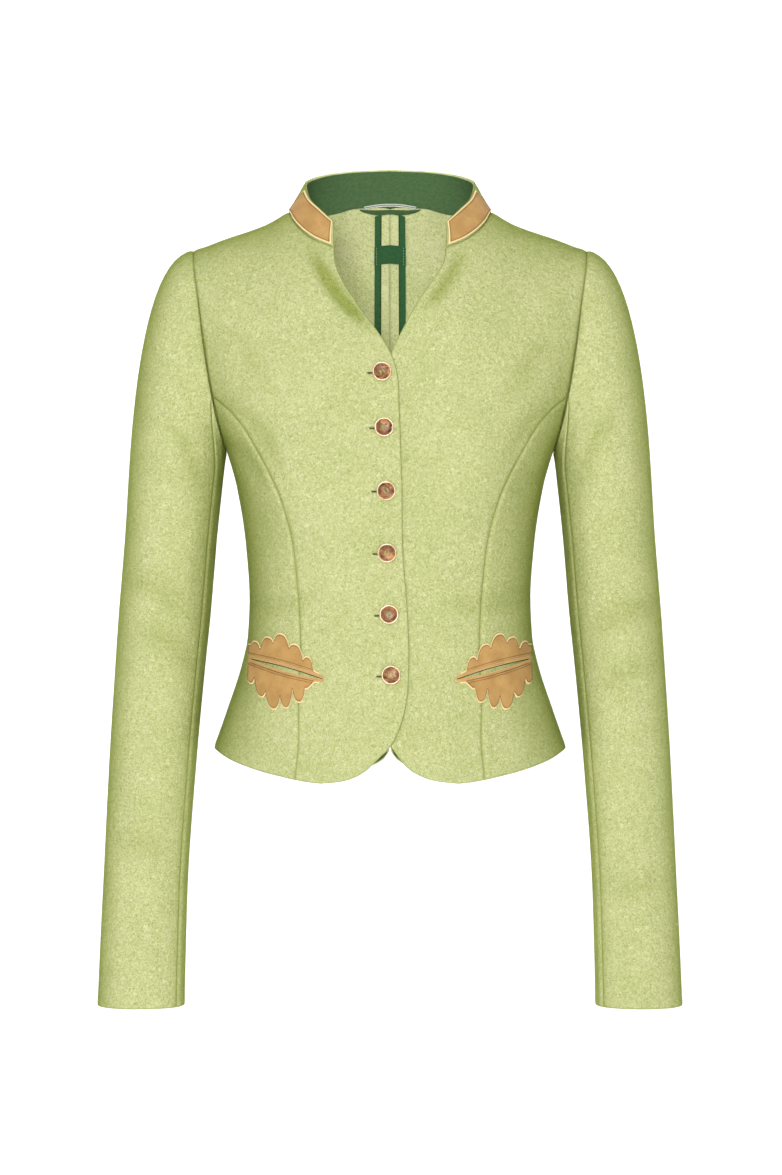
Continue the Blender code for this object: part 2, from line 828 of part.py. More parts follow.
def make_back(side_name, side):
    """One back panel, from the centre seam to the side back seam and the armhole."""
    inner = back_centre_line()
    outer = back_seam_line() + armhole_back_line()[1:]
    top = back_neck_line() + shoulder_line()[1:]
    columns = len(top) - 1
    turn = BACK_SEAM_HEM_ANGLE - VENT_CORNER_ANGLE
    bottom = [hem_spot(VENT_CORNER_ANGLE + turn * step / columns) for step in range(columns + 1)]
    spots = blended(inner, outer, bottom, top)
    layers = layer_of(spots, back_point, back_normal, even(0), even(-WOOL))
    return wall(f"back_{side_name}", *layers, "wool", side)


# Sleeves


def sleeve_point(angle, height):
    """The sleeve's outer surface below the cap, at an angle from its inner line towards the front."""
    columns = ("centre_x", "centre_y", "half_width", "half_depth")
    centre_x, centre_y, half_width, half_depth = (table_value(SLEEVE_RINGS, c, height) for c in columns)
    power = 2 / SLEEVE_ROUNDNESS
    cosine = math.cos(math.radians(angle))
    sine = math.sin(math.radians(angle))
    x = centre_x - half_width * math.copysign(abs(cosine) ** power, cosine)
    y = centre_y - half_depth * math.copysign(abs(sine) ** power, sine)
    return Vector((x, y, height))


def armhole_loop():
    """The armhole's points and the torso's outward directions there, front, top, back and under the arm."""
    loop = [(front_point(spot), front_normal(spot)) for spot in armhole_front_line()]
    loop += [(back_point(spot), back_normal(spot)) for spot in armhole_back_line()[-2::-1]]
    loop += [(round_point(spot), round_normal(spot)) for spot in armhole_under_line()[-2:0:-1]]
    return loop


def armhole_share(point):
    """How far up the armhole a point lies, 0 under the arm and 1 at the shoulder point."""
    return min(max((point.z - ARMPIT) / SHOULDER_SPAN, 0.0), 1.0)


def cap_column(start, angle, height):
    """Points from the armhole down over the sleeve cap to the first ring."""
    end = sleeve_point(angle, SLEEVE_RINGS[-1].height)
    below = sleeve_point(angle, SLEEVE_RINGS[-1].height - 0.01)
    span = (end - start).length
    up_share = (1 - math.cos(math.pi * height)) / 2
    lean = -CAP_FORWARD * math.sin(math.radians(angle)) * math.sin(math.pi * height)
    first = Vector((up_share**0.8, lean, -CAP_TOP_DROOP - (1 - up_share))).normalized() * span * CAP_START_PULL
    last = (below - end).normalized() * span * CAP_END_PULL
    points = []
    for step in range(CAP_ROWS + 1):
        t = step / CAP_ROWS
        points.append(
            start * (2 * t**3 - 3 * t**2 + 1)
            + first * (t**3 - 2 * t**2 + t)
            + end * (3 * t**2 - 2 * t**3)
            + last * (t**3 - t**2)
        )
    return points


def under_share(height):
    """How far a point of the armhole lies under the arm, where the sleeve hangs beside the torso."""
    return 1 - smooth_step(height / CAP_UNDER_SHARE)


def crown_share(height):
    """How far a point of the armhole belongs to the crown, where the sleeve's edge faces as the torso does."""
    return smooth_step((height - CAP_CROWN_LOW) / (CAP_CROWN_HIGH - CAP_CROWN_LOW))


def sleeve_columns():
    """All columns of one sleeve, from the front seam over the top to the back seam and round the underarm."""
    over_turn = 180 - FRONT_SLEEVE_SEAM
    back_turn = 180 + BACK_SLEEVE_SEAM
    angles = [FRONT_SLEEVE_SEAM + over_turn * k / ARMHOLE_ROWS for k in range(ARMHOLE_ROWS + 1)]
    angles += [180 + back_turn * k / ARMHOLE_ROWS for k in range(1, ARMHOLE_ROWS + 1)]
    under_turn = FRONT_SLEEVE_SEAM - BACK_SLEEVE_SEAM
    angles += [360 + BACK_SLEEVE_SEAM + under_turn * k / SIDE_COLUMNS for k in range(1, SIDE_COLUMNS)]
    first = SLEEVE_RINGS[-1].height
    last = SLEEVE_RINGS[0].height
    columns = []
    for (start, away), angle in zip(armhole_loop(), angles):
        height = armhole_share(start)
        column = cap_column(start + away * SEAM_GAP * under_share(height), angle, height)
        for row in range(1, SLEEVE_ROWS + 1):
            column.append(sleeve_point(angle, first + (last - first) * row / SLEEVE_ROWS))
        columns.append(column)
    return columns


def make_sleeve(side_name, side):
    """The upper and the under half of one sleeve."""
    columns = sleeve_columns()
    count = len(columns)
    outer = transposed(columns)
    normals = []
    for r, line in enumerate(outer):
        above = outer[max(r - 1, 0)]
        below = outer[min(r + 1, len(outer) - 1)]
        across = [line[(c + 1) % count] - line[c - 1] for c in range(count)]
        normals.append([a.cross(above[c] - below[c]).normalized() for c, a in enumerate(across)])
    for c, (start, away) in enumerate(armhole_loop()):
        share = crown_share(armhole_share(start))
        normals[0][c] = (normals[0][c] * (1 - share) + away * share).normalized()
    inner = [[p - n * WOOL for p, n in zip(*pair)] for pair in zip(outer, normals)]
    over = 2 * ARMHOLE_ROWS + 1
    upper = [[line[:over] for line in layer] for layer in (outer, inner)]
    under = [[line[over - 1 :] + line[:1] for line in layer] for layer in (outer, inner)]
    wall(f"sleeve_top_{side_name}", *upper, "wool", side)
    wall(f"sleeve_under_{side_name}", *under, "wool", side)


# Collar


def collar_grid():
    """The collar's outer surface, from the right front end round the back to the left, base row first."""
    base = [front_point(spot) for spot in front_neck_line()]
    base += [back_point(spot) for spot in reversed(back_neck_line())][1:]
    base.reverse()
    halves = [start.lerp(end, 0.5) for start, end in zip(base, base[1:])]
    base = [point for pair in zip(base, halves) for point in pair] + base[-1:]
    run = [0.0]
    for start, end in zip(base, base[1:]):
        run.append(run[-1] + (end - start).length)
    columns = []
    for point, way in zip(base, run):
        share = way / run[-1]
        top = Vector([table_value(COLLAR_TOP, axis, share) for axis in ("x", "y", "z")])
        foot = point + (top - point).normalized() * SEAM_GAP / 2
        away = Vector((foot.x, foot.y - SIDE_PLANE, 0)).normalized()
        column = []
        for row in range(COLLAR_ROWS + 1):
            up = row / COLLAR_ROWS
            column.append(foot.lerp(top, up) + away * COLLAR_BELLY * math.sin(math.pi * up))
        columns.append(column)
    mirrored = [[Vector((-p.x, p.y, p.z)) for p in column] for column in columns[:0:-1]]
    return transposed(mirrored + columns)


def collar_between(grid, normals, across, up, lift):
    """A point on the collar between its grid's points, moved off the outer surface."""
    c = min(int(across), len(grid[0]) - 2)
    r = min(int(up * COLLAR_ROWS), COLLAR_ROWS - 1)
    s = across - c
    t = up * COLLAR_ROWS - r
    point = Vector((0, 0, 0))
    normal = Vector((0, 0, 0))
    for row, row_share in ((r, 1 - t), (r + 1, t)):
        for column, column_share in ((c, 1 - s), (c + 1, s)):
            point += grid[row][column] * row_share * column_share
            normal += normals[row][column] * row_share * column_share
    return point + normal.normalized() * lift


def make_collar():
    """The stand, the green facing inside it and the suede patches on its front ends."""
    outer = collar_grid()
    normals = grid_normals(outer)
    inner = [[p - n * WOOL for p, n in zip(*pair)] for pair in zip(outer, normals)]
    wall("collar_stand", outer, inner, "wool")
    last = len(outer[0]) - 1
    face_low = -WOOL - COLLAR_LAYER_GAP
    layers = []
    for lift in (face_low, face_low - GREEN_CLOTH):
        layers.append([])
        for up in (COLLAR_FACING_LOW, 0.5, COLLAR_FACING_HIGH):
            layers[-1].append([collar_between(outer, normals, c, up, lift) for c in range(last + 1)])
    wall("collar_facing", *layers, "green_cloth")
    for side_name, side in SIDES:
        layers = []
        for lift in (COLLAR_LAYER_GAP + SUEDE, COLLAR_LAYER_GAP):
            layers.append([])
            for up in (PATCH_LOW, 0.5, PATCH_HIGH):
                layers[-1].append([collar_between(outer, normals, last - c, up, lift) for c in PATCH_PLACES])
        wall(f"collar_patch_{side_name}", *layers, "suede", side, gap=0)


# Trims inside the back


def inside_back(tree, name, spots, depth, thickness, finish_name, side=LEFT):
    """A thin piece that lies inside the back, this far in from the wool's inner facets."""

    def outer_lift(spot):
        return facet_lift(tree, back_point, back_normal, spot, -1) - depth

    def inner_lift(spot):
        return outer_lift(spot) - thickness

    layers = layer_of(spots, back_point, back_normal, outer_lift, inner_lift)
    wall(name, *layers, finish_name, side, gap=0)


def make_neck_facing(tree):
    """The green crescent inside the back neck."""
    columns = 8
    rows = ([], [])
    for step in range(columns + 1):
        x = NECK_FACING_REACH * (2 * step / columns - 1)
        edge = table_value(BACK_NECKLINE, "height", abs(x))
        depth = NECK_FACING_DEPTH * math.sqrt(max(1 - (x / NECK_FACING_REACH) ** 2, 0.04))
        top = run_of(edge) - 0.0012
        rows[0].append(Vector((x, top - depth)))
        rows[1].append(Vector((x, top)))
    inside_back(tree, "neck_facing", list(rows), LAYER_GAP, GREEN_CLOTH, "green_cloth")


def make_hanger_loop():
    """The narrow loop at the back neck, an arch of flat ribbon in front of the collar's facing."""
    steps = 10
    depth = WOOL + LAYER_GAP + GREEN_CLOTH
    outer = []
    inner = []
    for step in range(steps + 1):
        x = LOOP_REACH * (2 * step / steps - 1)
        arch = LOOP_LOW + (LOOP_PEAK - LOOP_LOW) * math.cos(x / LOOP_REACH * math.pi / 2)
        spot = Vector((x, run_of(table_value(BACK_NECKLINE, "height", abs(x)))))
        away = Vector((x, back_point(spot).y - SIDE_PLANE, 0)).normalized()
        middle = back_point(spot) - away * depth
        low = Vector((middle.x, middle.y, arch - LOOP_WIDTH / 2))
        high = Vector((middle.x, middle.y, arch + LOOP_WIDTH / 2))
        outer.append([low, high])
        inner.append([low - away * LOOP_THICKNESS, high - away * LOOP_THICKNESS])
    wall("hanger_loop", outer, inner, "loop_cord", gap=0)


def strip_spots(inner_x, outer_x):
    """Spots of an upright strip inside the back, at the rows of the centre seam."""
    runs = [spot[1] for spot in back_centre_line()]
    low = run_of(ALLOWANCE_BOTTOM)
    high = run_of(ALLOWANCE_TOP)
    runs = [low, *(run for run in runs if low < run < high), high]
    return [[Vector((inner_x, run)), Vector((outer_x, run))] for run in runs]


def make_back_trims(tree):
    """The pressed-open seam edges, their bindings, the label and the facings of the vent."""
    binding_depth = ALLOWANCE_GAP + WOOL + LAYER_GAP
    label_depth = binding_depth + GREEN_CLOTH + PATCH_GAP
    allowance = strip_spots(SEAM_GAP, ALLOWANCE_WIDTH)
    binding = strip_spots(BINDING_INNER, BINDING_OUTER)
    for side_name, side in SIDES:
        inside_back(tree, f"seam_allowance_{side_name}", allowance, ALLOWANCE_GAP, WOOL, "wool", side)
        name = f"seam_binding_{side_name}"
        inside_back(tree, name, binding, binding_depth, GREEN_CLOTH, "green_cloth", side)
        make_vent_facing(tree, side_name, side)
    columns = 4
    places = [LABEL_REACH * (2 * step / columns - 1) for step in range(columns + 1)]
    spots = [[Vector((x, run_of(height))) for x in places] for height in (LABEL_BOTTOM, LABEL_TOP)]
    inside_back(tree, "label", spots, label_depth, LABEL_CLOTH, "label_cloth")


def make_vent_facing(tree, side_name, side):
    """The green facing inside one rounded corner of the back vent."""
    edge = [spot for spot in back_centre_curve() if height_of(spot[1]) <= VENT_FACING_TOP]
    edge = spaced(edge, back_point, 7)
    spots = []
    for k, spot in enumerate(edge):
        before = edge[max(k - 1, 0)]
        after = edge[min(k + 1, len(edge) - 1)]
        along = (after - before).normalized()
        into = Vector((along[1], -along[0]))
        near = spot + into * VENT_FACING_INSET
        width = VENT_FACING_WIDTH * (0.45 + 0.55 * smooth_step(k / 3))
        spots.append([near, near + into * width / 2, near + into * width])
    inside_back(tree, f"vent_facing_{side_name}", spots, LAYER_GAP, GREEN_CLOTH, "green_cloth", side)


# Pockets


def slit_place(along, up):
    """The front-view place at a share of the slit's length, from its outer end, and a height above it."""
    place = SLIT_OUTER.lerp(SLIT_INNER, along)
    return Vector((place[0], run_of(place[1] + up)))


def half_opening(along):
    """Half the mouth's opening at a share of the slit's length."""
    return SLIT_CLOSED / 2 + SLIT_OPENING / 2 * math.sin(math.pi * min(max(along, 0.0), 1.0))


def leaf_reach(lobes, along):
    """How far the leaf's outline lies from the slit."""
    reach = LEAF_SPINE * math.sqrt(max(1 - (2 * along / LEAF_END - 1) ** 4, 0.0))
    for lobe in lobes:
        across = (along - lobe.centre) / lobe.half_width
        reach = max(reach, lobe.height * math.sqrt(max(1 - across * across, 0.0)))
    return reach


def make_pocket_half(tree, side_name, side, half_name, lobes, up_sign):
    """One welt and one half leaf, above or below the slit."""

    def inner_lift(spot):
        return max(facet_lift(tree, front_point, front_normal, spot, 1), 0.0) + PATCH_GAP

    def outer_lift(spot):
        return inner_lift(spot) + SUEDE

    welt = [[], []]
    for step in range(WELT_COLUMNS + 1):
        along = step / WELT_COLUMNS
        near = half_opening(along)
        welt[0].append(slit_place(along, up_sign * near))
        welt[1].append(slit_place(along, up_sign * (near + WELT_WIDTH)))
    layers = layer_of(welt, front_point, front_normal, outer_lift, inner_lift)
    wall(f"pocket_welt_{half_name}_{side_name}", *layers, "suede", side, gap=0)
    leaf = [[], [], []]
    for step in range(LEAF_COLUMNS + 1):
        along = LEAF_START + (LEAF_END - LEAF_START) * step / LEAF_COLUMNS
        near = half_opening(along) + WELT_WIDTH + SEAM_GAP
        reach = max(leaf_reach(lobes, along), near + 0.0015)
        for line, share in zip(leaf, (0.0, 0.5, 1.0)):
            line.append(slit_place(along, up_sign * (near + (reach - near) * share)))
    layers = layer_of(leaf, front_point, front_normal, outer_lift, inner_lift)
    wall(f"pocket_leaf_{half_name}_{side_name}", *layers, "suede", side, gap=0)


def make_pockets(tree):
    """Both pockets."""
    for side_name, side in SIDES:
        make_pocket_half(tree, side_name, side, "upper", UPPER_LOBES, 1)
        make_pocket_half(tree, side_name, side, "lower", LOWER_LOBES, -1)


# Buttons


def turned(profile, sides):
    """The vertices and faces of a closed (radius, height) profile turned round Z; radius 0 closes an end."""
    vertices = []
    rings = []
    for radius, height in profile:
        if radius == 0:
            rings.append([len(vertices)] * sides)
            vertices.append(Vector((0, 0, height)))
            continue
        rings.append(list(range(len(vertices), len(vertices) + sides)))
        for k in range(sides):
            angle = 2 * math.pi * k / sides
            vertices.append(Vector((radius * math.cos(angle), radius * math.sin(angle), height)))
    faces = []
    for low, high in zip(rings, rings[1:]):
        for k in range(sides):
            quad = (low[k], low[k - 1], high[k - 1], high[k])
            corners = tuple(dict.fromkeys(quad))
            if len(corners) > 2:
                faces.append(corners)
    return vertices, faces


def button_matrix(tree, spot):
    """The frame of a button: its base's centre on the upper front, +Z out of the cloth."""
    place = Vector((spot.x, run_of(spot.height)))
    normal = front_normal(place)
    middle = front_point(place)
    lift = 0.0
    for k in range(BUTTON_SIDES):
        angle = 2 * math.pi * k / BUTTON_SIDES
        edge = place + Vector((math.cos(angle), math.sin(angle))) * RIM_OUTER_RADIUS
        facet = front_point(edge) + front_normal(edge) * button_facet(tree, edge)
        lift = max(lift, (facet - middle).dot(normal))
    base = middle + normal * (lift + BUTTON_GAP)
    turn = Vector((0, 0, 1)).rotation_difference(Vector((-normal.x, normal.y, normal.z)))
    return Matrix.Translation(Vector((-base.x, base.y, base.z))) @ turn.to_matrix().to_4x4()


def button_facet(tree, spot):
    """How far the upper front's facets stand off the smooth surface at a spot left or right of the centre."""
    point = front_point(spot)
    normal = front_normal(spot)
    hit = tree.ray_cast(point + normal * SEARCH_REACH, -normal, 2 * SEARCH_REACH)[0]
    return 0.0 if hit is None else (hit - point).dot(normal)


def thread_hole_cutters():
    """Four short rods where the thread passes, joined in one hidden cutter."""
    vertices = []
    faces = []
    for x_sign in (-1, 1):
        for y_sign in (-1, 1):
            rod, rod_faces = turned(
                (
                    (0, -HORN_HEIGHT),
                    (THREAD_HOLE_RADIUS, -HORN_HEIGHT),
                    (THREAD_HOLE_RADIUS, 2 * HORN_HEIGHT),
                    (0, 2 * HORN_HEIGHT),
                ),
                THREAD_HOLE_SIDES,
            )
            start = len(vertices)
            offset = Vector((x_sign * THREAD_HOLE_OFFSET, y_sign * THREAD_HOLE_OFFSET, 0))
            vertices += [point + offset for point in rod]
            faces += [tuple(start + k for k in face) for face in rod_faces]
    cutter = add_object("thread_hole_cutter", vertices, faces, "horn")
    cutter.hide_render = True
    cutter.display_type = "WIRE"
    return cutter


def make_buttons(tree):
    """Six buttons, each a dished horn disc in a metal rim."""
    cutter = thread_hole_cutters()
    horn, horn_faces = turned(
        (
            (0, 0),
            (HORN_RADIUS, 0),
            (HORN_RADIUS, HORN_HEIGHT),
            (HORN_DISH_RADIUS, HORN_HEIGHT - HORN_DISH_DEPTH),
            (0, HORN_HEIGHT - HORN_DISH_DEPTH),
        ),
        BUTTON_SIDES,
    )
    rim, rim_faces = turned(
        (
            (RIM_INNER_RADIUS, 0),
            (RIM_OUTER_RADIUS, 0),
            (RIM_OUTER_RADIUS, RIM_HEIGHT - RIM_ROUNDING),
            (RIM_OUTER_RADIUS - RIM_ROUNDING, RIM_HEIGHT),
            (RIM_INNER_RADIUS, RIM_HEIGHT - RIM_ROUNDING),
            (RIM_INNER_RADIUS, 0),
        ),
        BUTTON_SIDES,
    )
    rim = rim[: -BUTTON_SIDES]
    loop = len(rim)
    rim_faces = [tuple(k % loop for k in face) for face in rim_faces]
    for number, spot in enumerate(BUTTONS, start=1):
        matrix = button_matrix(tree, spot)
        disc = add_object(f"button_{number}_horn", horn, horn_faces, "horn")
        disc.matrix_world = matrix
        holes = disc.modifiers.new("thread_holes", "BOOLEAN")
        holes.operation = "DIFFERENCE"
        holes.object = placed_copy(cutter, matrix, number)
        ring = add_object(f"button_{number}_rim", rim, rim_faces, "rim_metal")
        ring.matrix_world = matrix
    bpy.data.objects.remove(cutter)


def placed_copy(cutter, matrix, number):
    """The cutter at one button."""
    copy = bpy.data.objects.new(f"thread_hole_cutter_{number}", cutter.data)
    copy.hide_render = True
    copy.display_type = "WIRE"
    bpy.context.scene.collection.objects.link(copy)
    copy.matrix_world = matrix
    return copy


def main():
    """Build every piece."""
    clear_scene()
    right_front = make_front("right", RIGHT, UPPER_FRONT_EDGE, 1)
    left_front = make_front("left", LEFT, UNDER_FRONT_EDGE, -1)
    for side_name, side in SIDES:
        side_piece = make_side(side_name, side)
        back_piece = make_back(side_name, side)
        make_sleeve(side_name, side)
    back_tree = surface_tree([back_piece])
    make_collar()
    make_neck_facing(back_tree)
    make_hanger_loop()
    make_back_trims(back_tree)
    make_pockets(surface_tree([left_front, side_piece]))
    mirrored = [Vector((-point.x, point.y, point.z)) for point in right_front[0]]
    make_buttons(surface_tree([(mirrored, right_front[1])]))


main()
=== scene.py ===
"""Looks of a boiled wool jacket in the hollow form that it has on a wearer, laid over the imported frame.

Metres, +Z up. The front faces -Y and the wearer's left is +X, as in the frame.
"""

from __future__ import annotations

import logging
import math
from collections.abc import Callable, Sequence
from dataclasses import dataclass
from enum import Enum
from typing import Any, NamedTuple

import bmesh
import bpy
import numpy as np
from mathutils import Matrix, Vector


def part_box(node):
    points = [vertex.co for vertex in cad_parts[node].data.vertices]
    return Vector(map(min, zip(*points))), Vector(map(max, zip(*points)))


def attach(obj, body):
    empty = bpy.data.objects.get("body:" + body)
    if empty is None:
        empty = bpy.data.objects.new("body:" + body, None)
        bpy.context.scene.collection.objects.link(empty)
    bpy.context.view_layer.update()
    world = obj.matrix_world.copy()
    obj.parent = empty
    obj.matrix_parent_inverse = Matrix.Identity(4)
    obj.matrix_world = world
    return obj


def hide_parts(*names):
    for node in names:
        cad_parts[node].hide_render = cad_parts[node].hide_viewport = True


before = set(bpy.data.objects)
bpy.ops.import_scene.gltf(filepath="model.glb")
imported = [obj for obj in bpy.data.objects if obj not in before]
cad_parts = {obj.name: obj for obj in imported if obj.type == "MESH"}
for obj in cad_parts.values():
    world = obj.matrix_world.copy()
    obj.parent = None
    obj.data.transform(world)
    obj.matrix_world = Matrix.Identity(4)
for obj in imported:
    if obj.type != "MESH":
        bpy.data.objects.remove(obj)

LOG = logging.getLogger("jacket")
Spots = list[np.ndarray]
Place = Callable[[np.ndarray], np.ndarray]
Faces = list[tuple[int, ...]]
ColourStop = tuple[float, tuple[float, ...]]
Colour = tuple[float, float, float]
Socket = bpy.types.NodeSocket
Material = bpy.types.Material
Item = bpy.types.Object

# Cloth thicknesses and seams
WOOL = 0.0020
SUEDE = 0.0011
GREEN_CLOTH = 0.0008
LABEL_CLOTH = 0.0005
LOOP_CLOTH = 0.0009
SEAM_PULL = 0.00006
SEAM_RADIUS = 0.0003
THIN_ROUND = 0.0003
THIN_GROOVE = 0.0001

# A sheet's cut width and length are raised to at least this
FOLDED_WIDTH = 0.0100

# Topstitches run this far inside an edge, stand this far off the cloth and keep this share of that distance
TOPSTITCH_INSET = 0.0021
STITCH_LIFT = 0.0002
LEAST_CLEARANCE = 0.8

# Close steps of a sheet's grid beside its edges, and the share of the last that the even steps keep clear
CLOSE_STEPS = (0.0003, 0.0007, 0.0012, 0.0020, 0.0034)
CLEAR_STEP = 1.3
SMALL_STEP = 1e-5

# Edges sharper than these angles are shaded as edges
CLOTH_SHARP = math.radians(60)
BUTTON_SHARP = math.radians(40)

# The torso's form: heights at the side, the plane of the side seams and the fullness of the bust
ARMPIT = -0.2130
SHOULDER = -0.0335
SIDE_PLANE = 0.0050
SHOULDER_SPAN = SHOULDER - ARMPIT
SHOULDER_RUN = SHOULDER_SPAN * math.pi / 2
BUST_FULLNESS = 0.0100
BUST_X = 0.0800
BUST_WIDTH = 0.0420
BUST_HEIGHT = -0.2430
BUST_LENGTH = 0.0520


class Face(Enum):
    """The front or the back of the torso."""

    FRONT = -1
    BACK = 1


class Side(Enum):
    """The wearer's side."""

    RIGHT = -1
    LEFT = 1

    @property
    def word(self) -> str:
        """The side's name as the frame spells it."""
        return self.name.lower()


class Edge(Enum):
    """How an edge of a sheet is finished."""

    SEAM = "seam"
    FOLD = "fold"
    RAW = "raw"


ALL_FOLDED = (Edge.FOLD,) * 4
ALL_RAW = (Edge.RAW,) * 4


class Ring(NamedTuple):
    """A cross-section of the torso."""

    height: float
    half_width: float
    front_depth: float
    back_depth: float
    roundness: float


class ArmholeStation(NamedTuple):
    """How far out the armhole lies, and the share of the chest's depth left there."""

    height: float
    x: float
    depth_share: float


class RidgeStation(NamedTuple):
    """How far the shoulders' ridge rises over the shoulder point."""

    x: float
    front_rise: float
    back_rise: float


class HemStation(NamedTuple):
    """The hem's height at an angle from the centre front."""

    angle: float
    height: float


class Spot(NamedTuple):
    """A place on one side of the jacket, by its distance from the centre and its height at the side."""

    x: float
    height: float


class SleeveRing(NamedTuple):
    """A cross-section of the sleeve."""

    height: float
    centre_x: float
    centre_y: float
    half_width: float
    half_depth: float


class CollarStation(NamedTuple):
    """A place on the collar's upper edge, by its share of the way from the centre back."""

    share: float
    x: float
    y: float
    z: float


class Lobe(NamedTuple):
    """A lobe of a leaf patch, by its place along the slit."""

    centre: float
    half_width: float
    height: float


class Stitch(NamedTuple):
    """The distance from one stitch to the next, a stitch's length and its thread's radius."""

    pitch: float
    length: float
    radius: float


class Lamp(NamedTuple):
    """A square soft light that faces its target."""

    name: str
    place: tuple[float, float, float]
    power: float
    size: float
    target: tuple[float, float, float]


class Crease(NamedTuple):
    """A soft trough (negative) or ridge between two places in front view."""

    face: Face
    start_x: float
    start_z: float
    end_x: float
    end_z: float
    bow: float
    width: float
    depth: float


TORSO_RINGS = (
    Ring(-0.5300, 0.1715, 0.1210, 0.1230, 2.40),
    Ring(-0.4830, 0.1590, 0.1130, 0.1160, 2.40),
    Ring(-0.4470, 0.1467, 0.1070, 0.1070, 2.40),
    Ring(-0.4070, 0.1337, 0.1010, 0.0980, 2.35),
    Ring(-0.3800, 0.1280, 0.0990, 0.0950, 2.35),
    Ring(-0.3460, 0.1265, 0.0980, 0.0930, 2.35),
    Ring(-0.2990, 0.1296, 0.1020, 0.0980, 2.45),
    Ring(-0.2450, 0.1380, 0.1100, 0.1070, 2.60),
    Ring(-0.2130, 0.1470, 0.1090, 0.1100, 2.80),
)
ARMHOLE = (
    ArmholeStation(-0.2130, 0.1470, 0.02),
    ArmholeStation(-0.2070, 0.1487, 0.20),
    ArmholeStation(-0.2000, 0.1505, 0.31),
    ArmholeStation(-0.1840, 0.1545, 0.43),
    ArmholeStation(-0.1650, 0.1585, 0.51),
    ArmholeStation(-0.1250, 0.1650, 0.59),
    ArmholeStation(-0.0790, 0.1710, 0.70),
    ArmholeStation(-0.0500, 0.1750, 0.83),
    ArmholeStation(-0.0335, 0.1765, 0.97),
)
RIDGE = (
    RidgeStation(-0.0300, 0.0660, 0.0780),
    RidgeStation(0.0000, 0.0720, 0.0885),
    RidgeStation(0.0300, 0.0660, 0.0780),
    RidgeStation(0.0520, 0.0550, 0.0610),
    RidgeStation(0.0920, 0.0340, 0.0340),
    RidgeStation(0.1125, 0.0227, 0.0227),
    RidgeStation(0.1485, 0.0101, 0.0101),
    RidgeStation(0.1765, 0.0000, 0.0000),
    RidgeStation(0.2000, -0.0050, -0.0050),
)
HEM = (
    HemStation(0.0, -0.5085),
    HemStation(17.0, -0.5071),
    HemStation(35.0, -0.5000),
    HemStation(56.0, -0.4900),
    HemStation(76.0, -0.4820),
    HemStation(90.0, -0.4800),
    HemStation(115.0, -0.4860),
    HemStation(145.0, -0.4980),
    HemStation(180.0, -0.5065),
)
FRONT_CORNER_ANGLE = 17.0
PRINCESS_HEM_ANGLE = 26.0
BACK_SEAM_HEM_ANGLE = 145.0
VENT_CORNER_ANGLE = 170.0
PRINCESS_TOP = -0.1695
BACK_SEAM_TOP = -0.1480
PRINCESS_SEAM = (
    Spot(0.0800, -0.4700),
    Spot(0.0805, -0.4400),
    Spot(0.0790, -0.3800),
    Spot(0.0817, -0.3375),
    Spot(0.0868, -0.2930),
    Spot(0.0967, -0.2580),
    Spot(0.1120, -0.2260),
    Spot(0.1312, -0.1955),
    Spot(0.1455, -0.1800),
)
BACK_SEAM = (
    Spot(0.1040, -0.4600),
    Spot(0.0930, -0.4000),
    Spot(0.0900, -0.3460),
    Spot(0.0970, -0.3000),
    Spot(0.1120, -0.2500),
    Spot(0.1300, -0.2080),
    Spot(0.1490, -0.1700),
)
UPPER_FRONT_EDGE = (
    Spot(0.0391, -0.5046),
    Spot(0.0240, -0.4985),
    Spot(0.0113, -0.4871),
    Spot(-0.0009, -0.4750),
    Spot(-0.0087, -0.4594),
    Spot(-0.0140, -0.4400),
    Spot(-0.0166, -0.4040),
    Spot(-0.0149, -0.3520),
    Spot(-0.0114, -0.3050),
    Spot(-0.0105, -0.2440),
    Spot(-0.0082, -0.1900),
    Spot(-0.0065, -0.1680),
    Spot(-0.0009, -0.1552),
    Spot(0.0087, -0.1435),
    Spot(0.0280, -0.1223),
    Spot(0.0420, -0.1035),
    Spot(0.0487, -0.0880),
    Spot(0.0494, -0.0788),
)
UNDER_FRONT_EDGE = (
    Spot(0.0348, -0.5035),
    Spot(0.0183, -0.4957),
    Spot(0.0026, -0.4776),
    Spot(-0.0070, -0.4600),
    Spot(-0.0135, -0.4350),
    Spot(-0.0150, -0.3800),
    Spot(-0.0150, -0.2600),
    Spot(-0.0140, -0.1960),
    Spot(-0.0090, -0.1730),
    Spot(0.0035, -0.1507),
    Spot(0.0219, -0.1241),
    Spot(0.0380, -0.1040),
    Spot(0.0480, -0.0880),
    Spot(0.0494, -0.0788),
)
VENT_EDGE = (
    Spot(0.0180, -0.5035),
    Spot(0.0080, -0.4985),
    Spot(0.0022, -0.4925),
    Spot(0.0005, -0.4875),
    Spot(0.0000, -0.4840),
    Spot(0.0000, -0.4800),
    Spot(0.0000, -0.4600),
    Spot(0.0000, -0.4000),
    Spot(0.0000, -0.0625),
)
FRONT_NECKLINE = (
    Spot(0.0494, -0.0788),
    Spot(0.0654, -0.0685),
    Spot(0.0763, -0.0584),
    Spot(0.0846, -0.0477),
    Spot(0.0890, -0.0385),
    Spot(0.0920, -0.0335),
)
BACK_NECKLINE = (
    Spot(0.0000, -0.0625),
    Spot(0.0300, -0.0565),
    Spot(0.0520, -0.0500),
    Spot(0.0750, -0.0415),
    Spot(0.0920, -0.0335),
)
